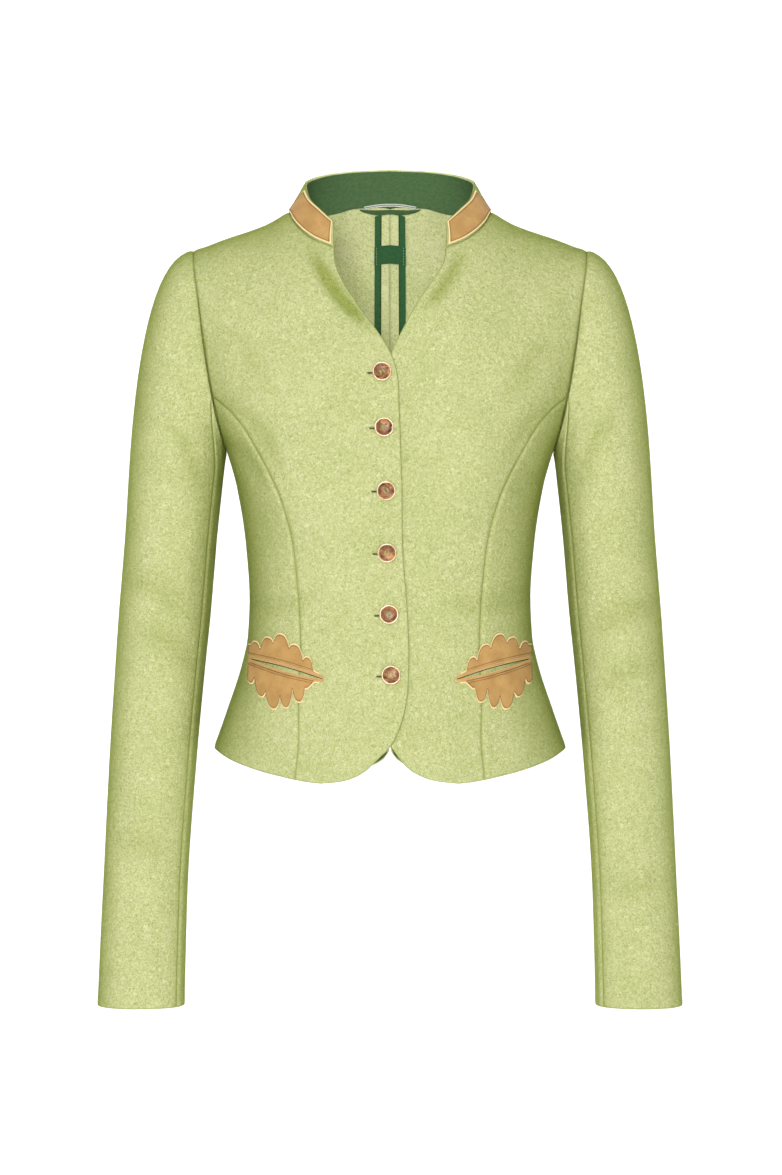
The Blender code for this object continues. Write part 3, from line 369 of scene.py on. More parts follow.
SLEEVE_RINGS = (
    SleeveRing(-0.7085, 0.2220, -0.0280, 0.0387, 0.0385),
    SleeveRing(-0.6500, 0.2205, -0.0210, 0.0382, 0.0390),
    SleeveRing(-0.5960, 0.2187, -0.0140, 0.0378, 0.0400),
    SleeveRing(-0.4880, 0.2129, -0.0010, 0.0392, 0.0440),
    SleeveRing(-0.4070, 0.2070, 0.0060, 0.0405, 0.0480),
    SleeveRing(-0.3530, 0.2025, 0.0080, 0.0414, 0.0510),
    SleeveRing(-0.2990, 0.1980, 0.0070, 0.0414, 0.0535),
    SleeveRing(-0.2350, 0.1925, 0.0040, 0.0427, 0.0560),
)
COLLAR_TOP = (
    CollarStation(0.00, 0.0000, 0.0540, 0.0460),
    CollarStation(0.20, 0.0330, 0.0500, 0.0440),
    CollarStation(0.38, 0.0640, 0.0300, 0.0375),
    CollarStation(0.52, 0.0765, 0.0040, 0.0280),
    CollarStation(0.68, 0.0720, -0.0240, 0.0120),
    CollarStation(0.84, 0.0610, -0.0430, -0.0010),
    CollarStation(1.00, 0.0496, -0.0570, -0.0130),
)
CREASES = (
    Crease(Face.FRONT, -0.068, -0.043, -0.021, -0.106, -0.003, 0.0062, -0.0026),
    Crease(Face.FRONT, -0.060, -0.060, -0.034, -0.096, -0.002, 0.0040, -0.0010),
    Crease(Face.FRONT, 0.062, -0.044, 0.034, -0.088, 0.003, 0.0062, -0.0020),
    Crease(Face.FRONT, -0.150, -0.172, -0.098, -0.232, 0.010, 0.0070, -0.0009),
    Crease(Face.FRONT, -0.146, -0.206, -0.112, -0.246, 0.006, 0.0060, -0.0008),
    Crease(Face.FRONT, 0.148, -0.176, 0.104, -0.226, -0.008, 0.0080, -0.0008),
    Crease(Face.FRONT, -0.122, -0.352, -0.062, -0.344, -0.004, 0.0080, -0.0007),
    Crease(Face.FRONT, 0.124, -0.340, 0.050, -0.350, 0.005, 0.0090, -0.0007),
    Crease(Face.FRONT, -0.050, -0.285, -0.004, -0.330, 0.004, 0.0080, 0.0005),
    Crease(Face.FRONT, 0.012, -0.228, 0.018, -0.290, 0.004, 0.0070, 0.0005),
    Crease(Face.FRONT, 0.140, -0.120, 0.110, -0.165, -0.006, 0.0100, -0.0008),
    Crease(Face.FRONT, -0.142, -0.110, -0.115, -0.160, 0.005, 0.0100, -0.0007),
    Crease(Face.FRONT, -0.060, -0.450, -0.048, -0.500, 0.002, 0.0090, 0.0006),
    Crease(Face.FRONT, 0.104, -0.440, 0.114, -0.486, 0.002, 0.0100, 0.0006),
    Crease(Face.FRONT, -0.230, -0.330, -0.186, -0.352, 0.004, 0.0090, -0.0012),
    Crease(Face.FRONT, -0.222, -0.372, -0.180, -0.402, 0.004, 0.0100, -0.0010),
    Crease(Face.FRONT, 0.236, -0.352, 0.184, -0.372, -0.004, 0.0100, -0.0012),
    Crease(Face.FRONT, 0.232, -0.404, 0.190, -0.424, -0.004, 0.0090, -0.0009),
    Crease(Face.FRONT, -0.196, -0.190, -0.168, -0.252, 0.005, 0.0070, -0.0009),
    Crease(Face.FRONT, 0.198, -0.182, 0.170, -0.246, -0.005, 0.0080, -0.0009),
    Crease(Face.FRONT, -0.240, -0.560, -0.196, -0.572, 0.003, 0.0110, -0.0007),
    Crease(Face.FRONT, 0.242, -0.590, 0.200, -0.604, 0.003, 0.0120, -0.0007),
    Crease(Face.BACK, -0.140, -0.180, -0.090, -0.228, 0.008, 0.0090, -0.0011),
    Crease(Face.BACK, 0.142, -0.172, 0.096, -0.236, -0.008, 0.0090, -0.0010),
    Crease(Face.BACK, -0.110, -0.340, -0.030, -0.352, 0.006, 0.0100, -0.0010),
    Crease(Face.BACK, 0.104, -0.352, 0.024, -0.342, 0.006, 0.0090, -0.0009),
    Crease(Face.BACK, 0.092, -0.378, 0.020, -0.366, 0.005, 0.0080, 0.0006),
    Crease(Face.BACK, -0.050, -0.050, -0.012, -0.070, 0.004, 0.0110, -0.0007),
    Crease(Face.BACK, 0.054, -0.046, 0.014, -0.072, 0.004, 0.0110, -0.0007),
    Crease(Face.BACK, -0.236, -0.400, -0.180, -0.384, 0.005, 0.0100, -0.0014),
    Crease(Face.BACK, -0.232, -0.438, -0.186, -0.424, 0.004, 0.0090, -0.0010),
    Crease(Face.BACK, 0.238, -0.410, 0.182, -0.396, -0.005, 0.0100, -0.0014),
    Crease(Face.BACK, 0.230, -0.368, 0.180, -0.352, -0.004, 0.0090, -0.0010),
)
UPPER_LOBES = (
    Lobe(0.095, 0.080, 0.0175),
    Lobe(0.270, 0.112, 0.0245),
    Lobe(0.440, 0.130, 0.0305),
    Lobe(0.620, 0.116, 0.0245),
    Lobe(0.785, 0.078, 0.0165),
)
LOWER_LOBES = (
    Lobe(0.032, 0.075, 0.0220),
    Lobe(0.175, 0.095, 0.0310),
    Lobe(0.335, 0.120, 0.0385),
    Lobe(0.500, 0.097, 0.0345),
    Lobe(0.668, 0.092, 0.0265),
)
HORN_PROFILE = (
    (0, -0.0013),
    (0.0068, -0.0013),
    (0.0071, -0.0010),
    (0.0071, 0.0009),
    (0.0067, 0.0013),
    (0.0061, 0.00125),
    (0.0055, 0.0008),
    (0.0048, 0.0005),
    (0.0030, 0.0004),
    (0, 0.0004),
)
COLLAR_STITCH = Stitch(0.0022, 0.0018, 0.00030)
BINDING_STITCH = Stitch(0.0024, 0.0012, 0.00046)
LABEL_STITCH = Stitch(0.0024, 0.0013, 0.00036)
POCKET_STITCH = Stitch(0.0020, 0.0019, 0.00028)
# The pocket slit and the welt fold lay dark strips of painted shadow
POCKET_SLIT = Stitch(0.0006, 0.0016, 0.00050)
WELT_SHADOW = Stitch(0.0006, 0.0016, 0.00040)
BUTTON_THREAD = Stitch(0.0007, 0.0013, 0.00024)
HOLE_STITCH = Stitch(0.0007, 0.0007, 0.00022)
# The buttonhole slit lays a dark strip of painted shadow
HOLE_SLIT = Stitch(0.0005, 0.0012, 0.00052)
STITCH_SEED = 7
LAMPS = (
    Lamp("key", (-0.30, -3.7, 0.15), 80.0, 0.9, (0.0, 0.0, -0.33)),
    Lamp("fill", (0.6, -3.6, -0.5), 16.0, 1.6, (0.0, 0.0, -0.33)),
    Lamp("top", (-0.6, -1.4, 2.4), 13.0, 1.4, (0.0, 0.0, -0.33)),
    Lamp("wall_top", (0.0, 1.2, 2.4), 60.0, 2.0, (0.0, 4.0, -0.5)),
    Lamp("wall_left", (-2.6, 1.2, -0.2), 40.0, 1.6, (0.0, 3.6, -0.6)),
    Lamp("wall_right", (2.6, 1.2, -0.2), 40.0, 1.6, (0.0, 3.6, -0.6)),
)


# Smooth tables and curves


def table_value(rows: Sequence[Any], column: str, place: float) -> float:
    """The smooth value of a column between the rows of a table, with no overshoot.

    Args:
        rows: The table, whose first column holds the places in rising order.
        column: The column to read.
        place: Where to read it.

    Returns:
        The value there.
    """
    places = [row[0] for row in rows]
    values = [getattr(row, column) for row in rows]
    if place <= places[0]:
        return values[0]
    if place >= places[-1]:
        return values[-1]
    i = int(np.searchsorted(places, place, side="right")) - 1
    tangents = []
    for k in (i, i + 1):
        near = min(max(k, 1), len(rows) - 2)
        first = places[near] - places[near - 1]
        second = places[near + 1] - places[near]
        before = (values[near] - values[near - 1]) / first
        after = (values[near + 1] - values[near]) / second
        if k == 0:
            tangents.append(before)
        elif k == len(rows) - 1:
            tangents.append(after)
        elif before * after <= 0:
            tangents.append(0.0)
        else:
            first_weight = 2 * second + first
            second_weight = second + 2 * first
            tangents.append((first_weight + second_weight) / (first_weight / before + second_weight / after))
    step = places[i + 1] - places[i]
    t = (place - places[i]) / step
    return bridge(values[i], step * tangents[0], values[i + 1], step * tangents[1], t)


def smooth_step(value: float) -> float:
    """A soft 0 to 1 ramp."""
    value = min(max(value, 0.0), 1.0)
    return value * value * (3 - 2 * value)


def bridge(start: Any, leaving: Any, end: Any, arriving: Any, t: float) -> Any:
    """The place at t on a smooth bridge between two places or numbers.

    Args:
        start: Where it starts.
        leaving: How it leaves the start.
        end: Where it ends.
        arriving: How it comes to the end.
        t: The share of the way.

    Returns:
        The place or number there.
    """
    return (
        start * (2 * t**3 - 3 * t**2 + 1)
        + leaving * (t**3 - 2 * t**2 + t)
        + end * (3 * t**2 - 2 * t**3)
        + arriving * (t**3 - t**2)
    )


def smooth_curve(points: Spots, steps_each: int = 14) -> Spots:
    """Many points along a smooth curve through the given ones.

    Args:
        points: The places that the curve goes through.
        steps_each: Steps between two of them.

    Returns:
        The finely divided curve.
    """
    steps = [float(np.linalg.norm(end - start)) for start, end in zip(points, points[1:])]
    slopes = [(end - start) / step for start, end, step in zip(points, points[1:], steps)]
    tangents = [slopes[0]]
    for before, after, first, second in zip(slopes, slopes[1:], steps, steps[1:]):
        tangents.append((before * second + after * first) / (first + second))
    tangents.append(slopes[-1])
    curve = []
    for i, step in enumerate(steps):
        for k in range(steps_each):
            leaving = tangents[i] * step
            arriving = tangents[i + 1] * step
            curve.append(bridge(points[i], leaving, points[i + 1], arriving, k / steps_each))
    curve.append(points[-1])
    return curve


def spaced(spots: Spots, place: Place, shares: Sequence[float]) -> Spots:
    """Spots at shares of a line's length on the cloth.

    Args:
        spots: A finely divided line.
        place: The surface that it lies on.
        shares: The shares of its length to pick, from 0 to 1.

    Returns:
        One spot for each share.
    """
    points = np.array([place(spot) for spot in spots])
    run = np.concatenate([[0.0], np.cumsum(np.linalg.norm(np.diff(points, axis=0), axis=1))])
    table = np.array(spots)
    wanted = np.array(shares) * run[-1]
    return [np.array(pair) for pair in zip(*(np.interp(wanted, run, table[:, k]) for k in range(2)))]


def stations(count: int, length: float, start: bool = True, end: bool = True) -> list[float]:
    """Shares of a length from 0 to 1, close together at its finished ends.

    Args:
        count: Even steps between the ends.
        length: The length in metres, which places the close steps.
        start: Whether close steps stand at the start.
        end: Whether close steps stand at the end.

    Returns:
        The shares in rising order.
    """
    close = [distance / length for distance in CLOSE_STEPS]
    inner = [k / count for k in range(count + 1)]
    low = close[-1] * CLEAR_STEP if start else 0.0
    high = 1 - close[-1] * CLEAR_STEP if end else 1.0
    middle = [share for share in inner if low < share < high]
    first = close if start else []
    last = [1 - share for share in reversed(close)] if end else []
    return [0.0, *first, *middle, *last, 1.0]


# The forms that the cloth follows


class TorsoForm:
    """The torso's smooth outer surface and the lines of its seams and edges, for one side."""

    def run_of(self, height: float) -> float:
        """The way up the cloth to a height at the side."""
        if height <= ARMPIT:
            return height - ARMPIT
        return SHOULDER_SPAN * math.asin(min((height - ARMPIT) / SHOULDER_SPAN, 1.0))

    def height_of(self, run: float) -> float:
        """The height at the side of a way up the cloth."""
        if run <= 0:
            return ARMPIT + run
        return ARMPIT + SHOULDER_SPAN * math.sin(min(run, SHOULDER_RUN) / SHOULDER_SPAN)

    def ring_at(self, run: float) -> tuple[float, float, float, float, float]:
        """The cross-section at a way up the cloth: half width, depths, roundness and the shoulders' lift."""
        height = self.height_of(run)
        if run <= 0:
            columns = ("half_width", "front_depth", "back_depth", "roundness")
            values = [table_value(TORSO_RINGS, column, height) for column in columns]
            return values[0], values[1], values[2], values[3], 0.0
        top = TORSO_RINGS[-1]
        lift = (height - ARMPIT) / SHOULDER_SPAN
        depth_left = math.sqrt(max(1 - lift * lift, 0.0))
        share = table_value(ARMHOLE, "depth_share", height)
        half_width = table_value(ARMHOLE, "x", height) / (1 - share**top.roundness) ** (1 / top.roundness)
        return half_width, top.front_depth * depth_left, top.back_depth * depth_left, top.roundness, lift

    def on_ring(self, face: Face, x: float, share: float, run: float, ring: tuple[float, ...]) -> np.ndarray:
        """The point of a cross-section at a distance from the centre.

        Args:
            face: The front or the back.
            x: The distance from the centre.
            share: The share of the depth left there.
            run: The way up the cloth.
            ring: The cross-section.

        Returns:
            The point in metres.
        """
        height = self.height_of(run)
        if face is Face.FRONT:
            away_x = (abs(x) - BUST_X) / BUST_WIDTH
            away_height = (height - BUST_HEIGHT) / BUST_LENGTH
            bust = BUST_FULLNESS * math.exp(-away_x * away_x - away_height * away_height)
            y = SIDE_PLANE - ring[1] * share - bust * min(share * 2, 1.0)
            rise = table_value(RIDGE, "front_rise", abs(x))
        else:
            y = SIDE_PLANE + ring[2] * share
            rise = table_value(RIDGE, "back_rise", abs(x))
        return np.array((x, y, height + ring[4] * rise))

    def flat_face(self, face: Face, spot: np.ndarray) -> np.ndarray:
        """The surface of the front or the back at (x, run)."""
        ring = self.ring_at(spot[1])
        share = max(1 - (abs(spot[0]) / ring[0]) ** ring[3], 0.0) ** (1 / ring[3])
        return self.on_ring(face, spot[0], share, spot[1], ring)

    def front(self, spot: np.ndarray) -> np.ndarray:
        """The front's surface at (x, run)."""
        return self.flat_face(Face.FRONT, spot)

    def back(self, spot: np.ndarray) -> np.ndarray:
        """The back's surface at (x, run)."""
        return self.flat_face(Face.BACK, spot)

    def round(self, spot: np.ndarray) -> np.ndarray:
        """The surface round the side at (angle in degrees from the centre front, run)."""
        ring = self.ring_at(spot[1])
        power = 2 / ring[3]
        angle = math.radians(spot[0])
        x = ring[0] * abs(math.sin(angle)) ** power
        face = Face.FRONT if math.cos(angle) > 0 else Face.BACK
        return self.on_ring(face, x, abs(math.cos(angle)) ** power, spot[1], ring)

    def normal(self, place: Place, spot: np.ndarray, sign: int = 1, across: float = SMALL_STEP) -> np.ndarray:
        """The unit normal of a surface at a spot.

        Args:
            place: The surface.
            spot: Where on it.
            sign: 1, or -1 on a surface whose coordinates run the other way round.
            across: The small step across it.

        Returns:
            The unit normal.
        """
        du = place(spot + np.array((across, 0))) - place(spot - np.array((across, 0)))
        high = min(spot[1] + SMALL_STEP, SHOULDER_RUN)
        dv = place(np.array((spot[0], high))) - place(np.array((spot[0], high - 2 * SMALL_STEP)))
        out = sign * np.cross(du, dv)
        return out / np.linalg.norm(out)

    def angle_of(self, face: Face, spot: np.ndarray) -> np.ndarray:
        """The angle round the ring of a spot on the front or the back."""
        ring = self.ring_at(spot[1])
        angle = math.degrees(math.asin(min((abs(spot[0]) / ring[0]) ** (ring[3] / 2), 1.0)))
        return np.array((angle if face is Face.FRONT else 180 - angle, spot[1]))

    def hem_spot(self, angle: float) -> np.ndarray:
        """The hem at an angle round the ring, as (x, run)."""
        run = self.run_of(table_value(HEM, "height", angle))
        ring = self.ring_at(run)
        return np.array((ring[0] * math.sin(math.radians(angle)) ** (2 / ring[3]), run))

    def spots_of(self, table: Sequence[Spot]) -> Spots:
        """A seam's table as (x, run) spots."""
        return [np.array((spot.x, self.run_of(spot.height))) for spot in table]

    def armhole(self, low_height: float, steps: int = 160) -> Spots:
        """Finely divided spots up the armhole's edge from a height to the shoulder point."""
        low = self.run_of(low_height)
        runs = [low + (SHOULDER_RUN - low) * k / steps for k in range(steps + 1)]
        return [np.array((table_value(ARMHOLE, "x", self.height_of(run)), run)) for run in runs]

    def princess(self) -> Spots:
        """The front princess seam, hem to armhole."""
        top = self.armhole(PRINCESS_TOP)[0]
        return smooth_curve([self.hem_spot(PRINCESS_HEM_ANGLE), *self.spots_of(PRINCESS_SEAM), top])

    def back_seam(self) -> Spots:
        """The side back seam, hem to armhole."""
        top = self.armhole(BACK_SEAM_TOP)[0]
        return smooth_curve([self.hem_spot(BACK_SEAM_HEM_ANGLE), *self.spots_of(BACK_SEAM), top])

    def underarm(self) -> Spots:
        """The armhole's lower edge from the princess seam to the back seam, as (angle, run)."""
        line = []
        for face, top in ((Face.FRONT, PRINCESS_TOP), (Face.BACK, BACK_SEAM_TOP)):
            low = self.run_of(top)
            runs = [low * (1 - k / 60) for k in range(60)]
            spots = [np.array((table_value(ARMHOLE, "x", self.height_of(run)), run)) for run in runs]
            angles = [self.angle_of(face, spot) for spot in spots]
            line += angles if face is Face.FRONT else [np.array((90.0, 0.0)), *reversed(angles)]
        return line

    def shoulder(self) -> Spots:
        """The shoulder seam from the neck point to the shoulder point."""
        neck = FRONT_NECKLINE[-1].x
        span = ARMHOLE[-1].x - neck
        return [np.array((neck + span * k / 20, SHOULDER_RUN)) for k in range(21)]


FORM = TorsoForm()


def relief(points: np.ndarray) -> np.ndarray:
    """How far the main creases move each point out or in.

    Args:
        points: Points of a sheet, in metres.

    Returns:
        The distance for each point.
    """
    total = np.zeros(points.shape[:-1])
    for crease in CREASES:
        start = np.array((crease.start_x, crease.start_z))
        along = np.array((crease.end_x, crease.end_z)) - start
        length = float(np.linalg.norm(along))
        along /= length
        away = points[..., (0, 2)] - start
        t = (away @ along) / length
        across = away @ np.array((-along[1], along[0])) - crease.bow * np.sin(np.pi * np.clip(t, 0, 1))
        ends = np.clip(np.minimum(t + 0.25, 1.25 - t) / 0.5, 0, 1)
        fade = ends * ends * (3 - 2 * ends)
        facing = np.clip((points[..., 1] - 0.004) * crease.face.value / 0.03, 0, 1)
        total += crease.depth * fade * facing * np.exp(-((across / crease.width) ** 2))
    return total


def blended(
    inner: Spots, outer: Spots, bottom: Spots, top: Spots, u: list[float], v: list[float]
) -> np.ndarray:
    """A grid of spots whose four edges are the given lines.

    Args:
        inner: The edge at u 0, a spot for each v.
        outer: The edge at u 1.
        bottom: The edge at v 0, a spot for each u.
        top: The edge at v 1.
        u: The shares across.
        v: The shares along.

    Returns:
        The spots, rows by columns.
    """
    su = np.array(u)[None, :, None]
    sv = np.array(v)[:, None, None]
    sides = np.array(inner)[:, None] * (1 - su) + np.array(outer)[:, None] * su
    ends = np.array(bottom)[None] * (1 - sv) + np.array(top)[None] * sv
    low = bottom[0] * (1 - su) + bottom[-1] * su
    high = top[0] * (1 - su) + top[-1] * su
    return sides + ends - low * (1 - sv) - high * sv


def placed(spots: np.ndarray, place: Place) -> np.ndarray:
    """The points of a grid of spots on a surface."""
    return np.array([[place(spot) for spot in line] for line in spots])


# Sheets of cloth


@dataclass
class Sheet:
    """A wall of cloth over a grid of points on its outer face.

    The grid's rows run along the piece and its columns across. The edges are given in the order first row,
    last row, first column, last column.
    """

    name: str
    grid: np.ndarray
    thickness: float
    edges: tuple[Edge, Edge, Edge, Edge]
    side: Side = Side.LEFT
    creased: bool = False
    round_radius: float = 0.0008
    groove: float = 0.0008
    flip: bool = False
    groove_width: float = 0.0016
    seam_roll: tuple[float, float, float] = (0.50, 0.0045, 0.0030)
    fold_roll: tuple[float, float, float] = (0.30, 0.0050, 0.0035)

    def normals(self) -> np.ndarray:
        """Unit normals of the grid."""
        along = np.gradient(self.grid, axis=0)
        across = np.gradient(self.grid, axis=1)
        out = np.cross(across, along)
        out /= np.maximum(np.linalg.norm(out, axis=2, keepdims=True), 1e-12)
        return -out if self.flip else out

    def distances(self) -> list[np.ndarray]:
        """Each point's distance from the four edges."""
        found = []
        for axis in (0, 1):
            steps = np.linalg.norm(np.diff(self.grid, axis=axis), axis=2)
            pad = ((1, 0), (0, 0)) if axis == 0 else ((0, 0), (1, 0))
            run = np.pad(np.cumsum(steps, axis=axis), pad)
            last = run[-1:] if axis == 0 else run[:, -1:]
            found += [run, last - run]
        return found

    def cut(self) -> tuple[float, float]:
        """The width and length of the cloth that the piece is cut from."""
        runs = self.distances()
        return float(runs[2][:, -1].max()), float(runs[0][-1].max())

    def roll(self, shape: tuple[float, float, float], away: np.ndarray) -> np.ndarray:
        """The cloth's soft rise beside an edge, by its share of the groove, its distance and its width."""
        return shape[0] * self.groove * np.exp(-(((away - shape[1]) / shape[2]) ** 2))

    def layers(self) -> tuple[np.ndarray, np.ndarray, np.ndarray]:
        """The outer and inner points and each point's distance from its nearest edge."""
        normals = self.normals()
        distances = self.distances()
        drop = np.zeros(self.grid.shape[:2])
        swell = np.zeros(self.grid.shape[:2])
        for kind, away in zip(self.edges, distances):
            radius = min(self.round_radius, self.thickness / 2 - 0.0001)
            radius = min(radius, SEAM_RADIUS) if kind is Edge.SEAM else radius
            inside = np.clip(radius - away, 0, radius)
            drop = np.maximum(drop, radius - np.sqrt(np.maximum(radius**2 - inside**2, 0)))
            if kind is Edge.SEAM:
                drop = np.maximum(drop, 0.9 * self.groove * np.exp(-away / self.groove_width))
                swell += self.roll(self.seam_roll, away)
            elif kind is Edge.FOLD:
                swell += self.roll(self.fold_roll, away)
        shift = swell + (relief(self.mirrored(self.grid)) if self.creased else 0.0)
        outer = self.grid + normals * (shift - drop)[..., None]
        inner = self.grid + normals * (shift - swell - self.thickness + drop.clip(0, 0.0008))[..., None]
        self.pull(outer)
        self.pull(inner)
        raw = [away for kind, away in zip(self.edges, distances) if kind is Edge.RAW]
        return outer, inner, np.minimum.reduce(raw or distances)

    def mirrored(self, points: np.ndarray) -> np.ndarray:
        """The points on the piece's own side."""
        return points * np.array((self.side.value, 1, 1))

    def pull(self, layer: np.ndarray) -> None:
        """Draw the edges in by half a seam's gap."""
        for lines in (layer, layer.transpose(1, 0, 2)):
            for first, second in ((lines[0], lines[1]), (lines[-1], lines[-2])):
                step = second - first
                first += step / np.maximum(np.linalg.norm(step, axis=1, keepdims=True), 1e-9) * SEAM_PULL

    def build(self, material: Material) -> Item:
        """The finished object.

        Args:
            material: Its finish.

        Returns:
            The object, with its UV map in metres and the attributes edge (distance from the nearest edge, in
            millimetres), fold (depth of the creases, in millimetres) and lining_face (1 on the inner face).
        """
        outer, inner, edge = self.layers()
        rows, columns = edge.shape
        index = np.arange(rows * columns).reshape(rows, columns)
        back = rows * columns
        corners = [index[:-1, :-1], index[:-1, 1:], index[1:, 1:], index[1:, :-1]]
        quads = np.stack(corners, axis=-1).reshape(-1, 4)
        rim = np.concatenate([index[0], index[1:, -1], index[-1, -2::-1], index[-2:0:-1, 0]])
        after = np.roll(rim, -1)
        sides = np.stack([rim, back + rim, back + after, after], axis=-1)
        faces = np.concatenate([quads, back + quads[:, ::-1], sides])
        points = np.concatenate([self.mirrored(outer).reshape(-1, 3), self.mirrored(inner).reshape(-1, 3)])
        mesh = bpy.data.meshes.new(self.name)
        mesh.from_pydata(points.tolist(), [], faces.tolist())
        runs = self.distances()
        uv = np.stack([runs[2], runs[0]], axis=-1).reshape(-1, 2)
        uv = np.concatenate([uv, uv])
        layer = mesh.uv_layers.new(name="cloth")
        loops = np.zeros(len(mesh.loops), np.int32)
        mesh.loops.foreach_get("vertex_index", loops)
        layer.data.foreach_set("uv", uv[loops].ravel().astype(np.float32))
        fold = -relief(self.mirrored(self.grid)) if self.creased else np.zeros(edge.shape)
        for name, values in (("edge", edge), ("fold", fold)):
            values = np.concatenate([values.ravel(), values.ravel()]) * 1000
            mesh.attributes.new(name, "FLOAT", "POINT").data.foreach_set("value", values.astype(np.float32))
        inside = np.repeat([0.0, 1.0], back).astype(np.float32)
        mesh.attributes.new("lining_face", "FLOAT", "POINT").data.foreach_set("value", inside)
        return finished_object(self.name, mesh, material)


def green_sheet(name: str, grid: np.ndarray, side: Side = Side.LEFT) -> Sheet:
    """A thin green piece with folded edges."""
    shape = {"round_radius": THIN_ROUND, "groove": THIN_ROUND}
    return Sheet(name, grid, GREEN_CLOTH, ALL_FOLDED, side, flip=True, **shape)


def finished_object(name: str, mesh: bpy.types.Mesh, material: Material) -> Item:
    """An object of a mesh with its faces turned outwards and shaded smooth.

    Args:
        name: The object's name.
        mesh: Its mesh.
        material: Its finish.

    Returns:
        The object, linked to the scene.
    """
    builder = bmesh.new()
    builder.from_mesh(mesh)
    bmesh.ops.recalc_face_normals(builder, faces=builder.faces)
    builder.to_mesh(mesh)
    builder.free()
    mesh.shade_smooth()
    mesh.set_sharp_from_angle(angle=CLOTH_SHARP)
    item = bpy.data.objects.new(name, mesh)
    bpy.context.scene.collection.objects.link(item)
    mesh.materials.clear()
    mesh.materials.append(material)
    return item


def hand_over(piece: Item, slot: str, *nodes: str) -> None:
    """Let a finished piece ride on the jacket and stand for its nodes."""
    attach(piece, "root")
    if nodes:
        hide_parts(*nodes)
    LOG.info("%s: %d faces", piece.name, len(piece.data.polygons))


def sew(
    sheet: Sheet, material: Material, slot: str, node: str
) -> None:
    """Args:
        sheet: The sheet.
        material: Its finish.
        slot: The name of a material slot, not used.
        node: The node that it stands for.
    """
    piece = sheet.build(material)
    hand_over(piece, slot, node)
    width, length = sheet.cut()
    width = max(round(width, 4), FOLDED_WIDTH)
    length = max(round(length, 4), FOLDED_WIDTH)


# Finishes


class Graph:
    """Short calls for building a node tree."""

    def __init__(self, tree: bpy.types.NodeTree) -> None:
        """Keep the tree."""
        self.tree = tree

    def fill(self, node: bpy.types.Node, inputs: dict[str | int, Any]) -> bpy.types.Node:
        """Set or link a node's inputs, by name or number, and give the node back."""
        for key, value in inputs.items():
            if isinstance(value, Socket):
                self.tree.links.new(value, node.inputs[key])
            else:
                node.inputs[key].default_value = value
        return node

    def node(self, kind: str, inputs: dict[str | int, Any] | None = None, **settings: Any) -> bpy.types.Node:
        """Add a node.

        Args:
            kind: Its type.
            inputs: Values or sockets for its inputs, by name or number.
            settings: Its own properties.

        Returns:
            The node.
        """
        made = self.tree.nodes.new(kind)
        for key, value in settings.items():
            setattr(made, key, value)
        return self.fill(made, inputs or {})

    def place(self) -> Socket:
        """The place on the object."""
        return self.node("ShaderNodeTexCoord").outputs["Object"]

    def ramp(self, fac: Socket, stops: Sequence[ColourStop]) -> Socket:
        """A colour ramp over a value."""
        made = self.node("ShaderNodeValToRGB", {"Fac": fac})
        elements = made.color_ramp.elements
        while len(elements) < len(stops):
            elements.new(0.5)
        for element, (position, colour) in zip(elements, stops):
            element.position = position
            element.color = (*colour, 1.0)
        return made.outputs["Color"]

    def mix(self, fac: Any, first: Any, second: Any, blend: str = "MIX") -> Socket:
        """A mix of two colours."""
        inputs = {0: fac, 6: first, 7: second}
        return self.node("ShaderNodeMix", inputs, data_type="RGBA", blend_type=blend).outputs[2]

    def math(self, operation: str, first: Any, second: Any = 0.0) -> Socket:
        """A sum on two numbers."""
        return self.node("ShaderNodeMath", {0: first, 1: second}, operation=operation).outputs[0]

    def total(self, first: Any, first_weight: float, second: Any, second_weight: float) -> Socket:
        """The weighted sum of two numbers."""
        weighted = self.math("MULTIPLY", first, first_weight)
        return self.math("ADD", weighted, self.math("MULTIPLY", second, second_weight))

    def noise(self, place: Any, scale: Any, **others: float) -> Socket:
        """A noise pattern's value, with its detail, roughness and distortion by name."""
        inputs = {"Vector": place, "Scale": scale}
        inputs.update({name.capitalize(): value for name, value in others.items()})
        return self.node("ShaderNodeTexNoise", inputs).outputs["Fac"]

    def spread(self, value: Any, low: float, high: float, to_low: float, to_high: float) -> Socket:
        """A value's stretch from low to high, laid over another stretch."""
        inputs = {"Value": value, "From Min": low, "From Max": high, "To Min": to_low, "To Max": to_high}
        return self.node("ShaderNodeMapRange", inputs).outputs[0]

    def bump(self, height: Socket, strength: float, distance: float) -> Socket:
        """A bumpy surface's normals."""
        inputs = {"Height": height, "Strength": strength, "Distance": distance}
        return self.node("ShaderNodeBump", inputs).outputs[0]

    def attribute(self, name: str) -> Socket:
        """A number that the mesh carries."""
        return self.node("ShaderNodeAttribute", attribute_name=name).outputs["Fac"]


def linear(red: int, green: int, blue: int) -> Colour:
    """A screen colour as linear light."""
    scaled = [value / 255 for value in (red, green, blue)]
    out = [v / 12.92 if v <= 0.04045 else ((v + 0.055) / 1.055) ** 2.4 for v in scaled]
    return out[0], out[1], out[2]


def open_sockets(tree: bpy.types.NodeTree, way: str, kinds: dict[str, str]) -> None:
    """Give a node group its inputs or outputs, by name and kind."""
    for name, kind in kinds.items():
        tree.interface.new_socket(name, in_out=way, socket_type=f"NodeSocket{kind}")


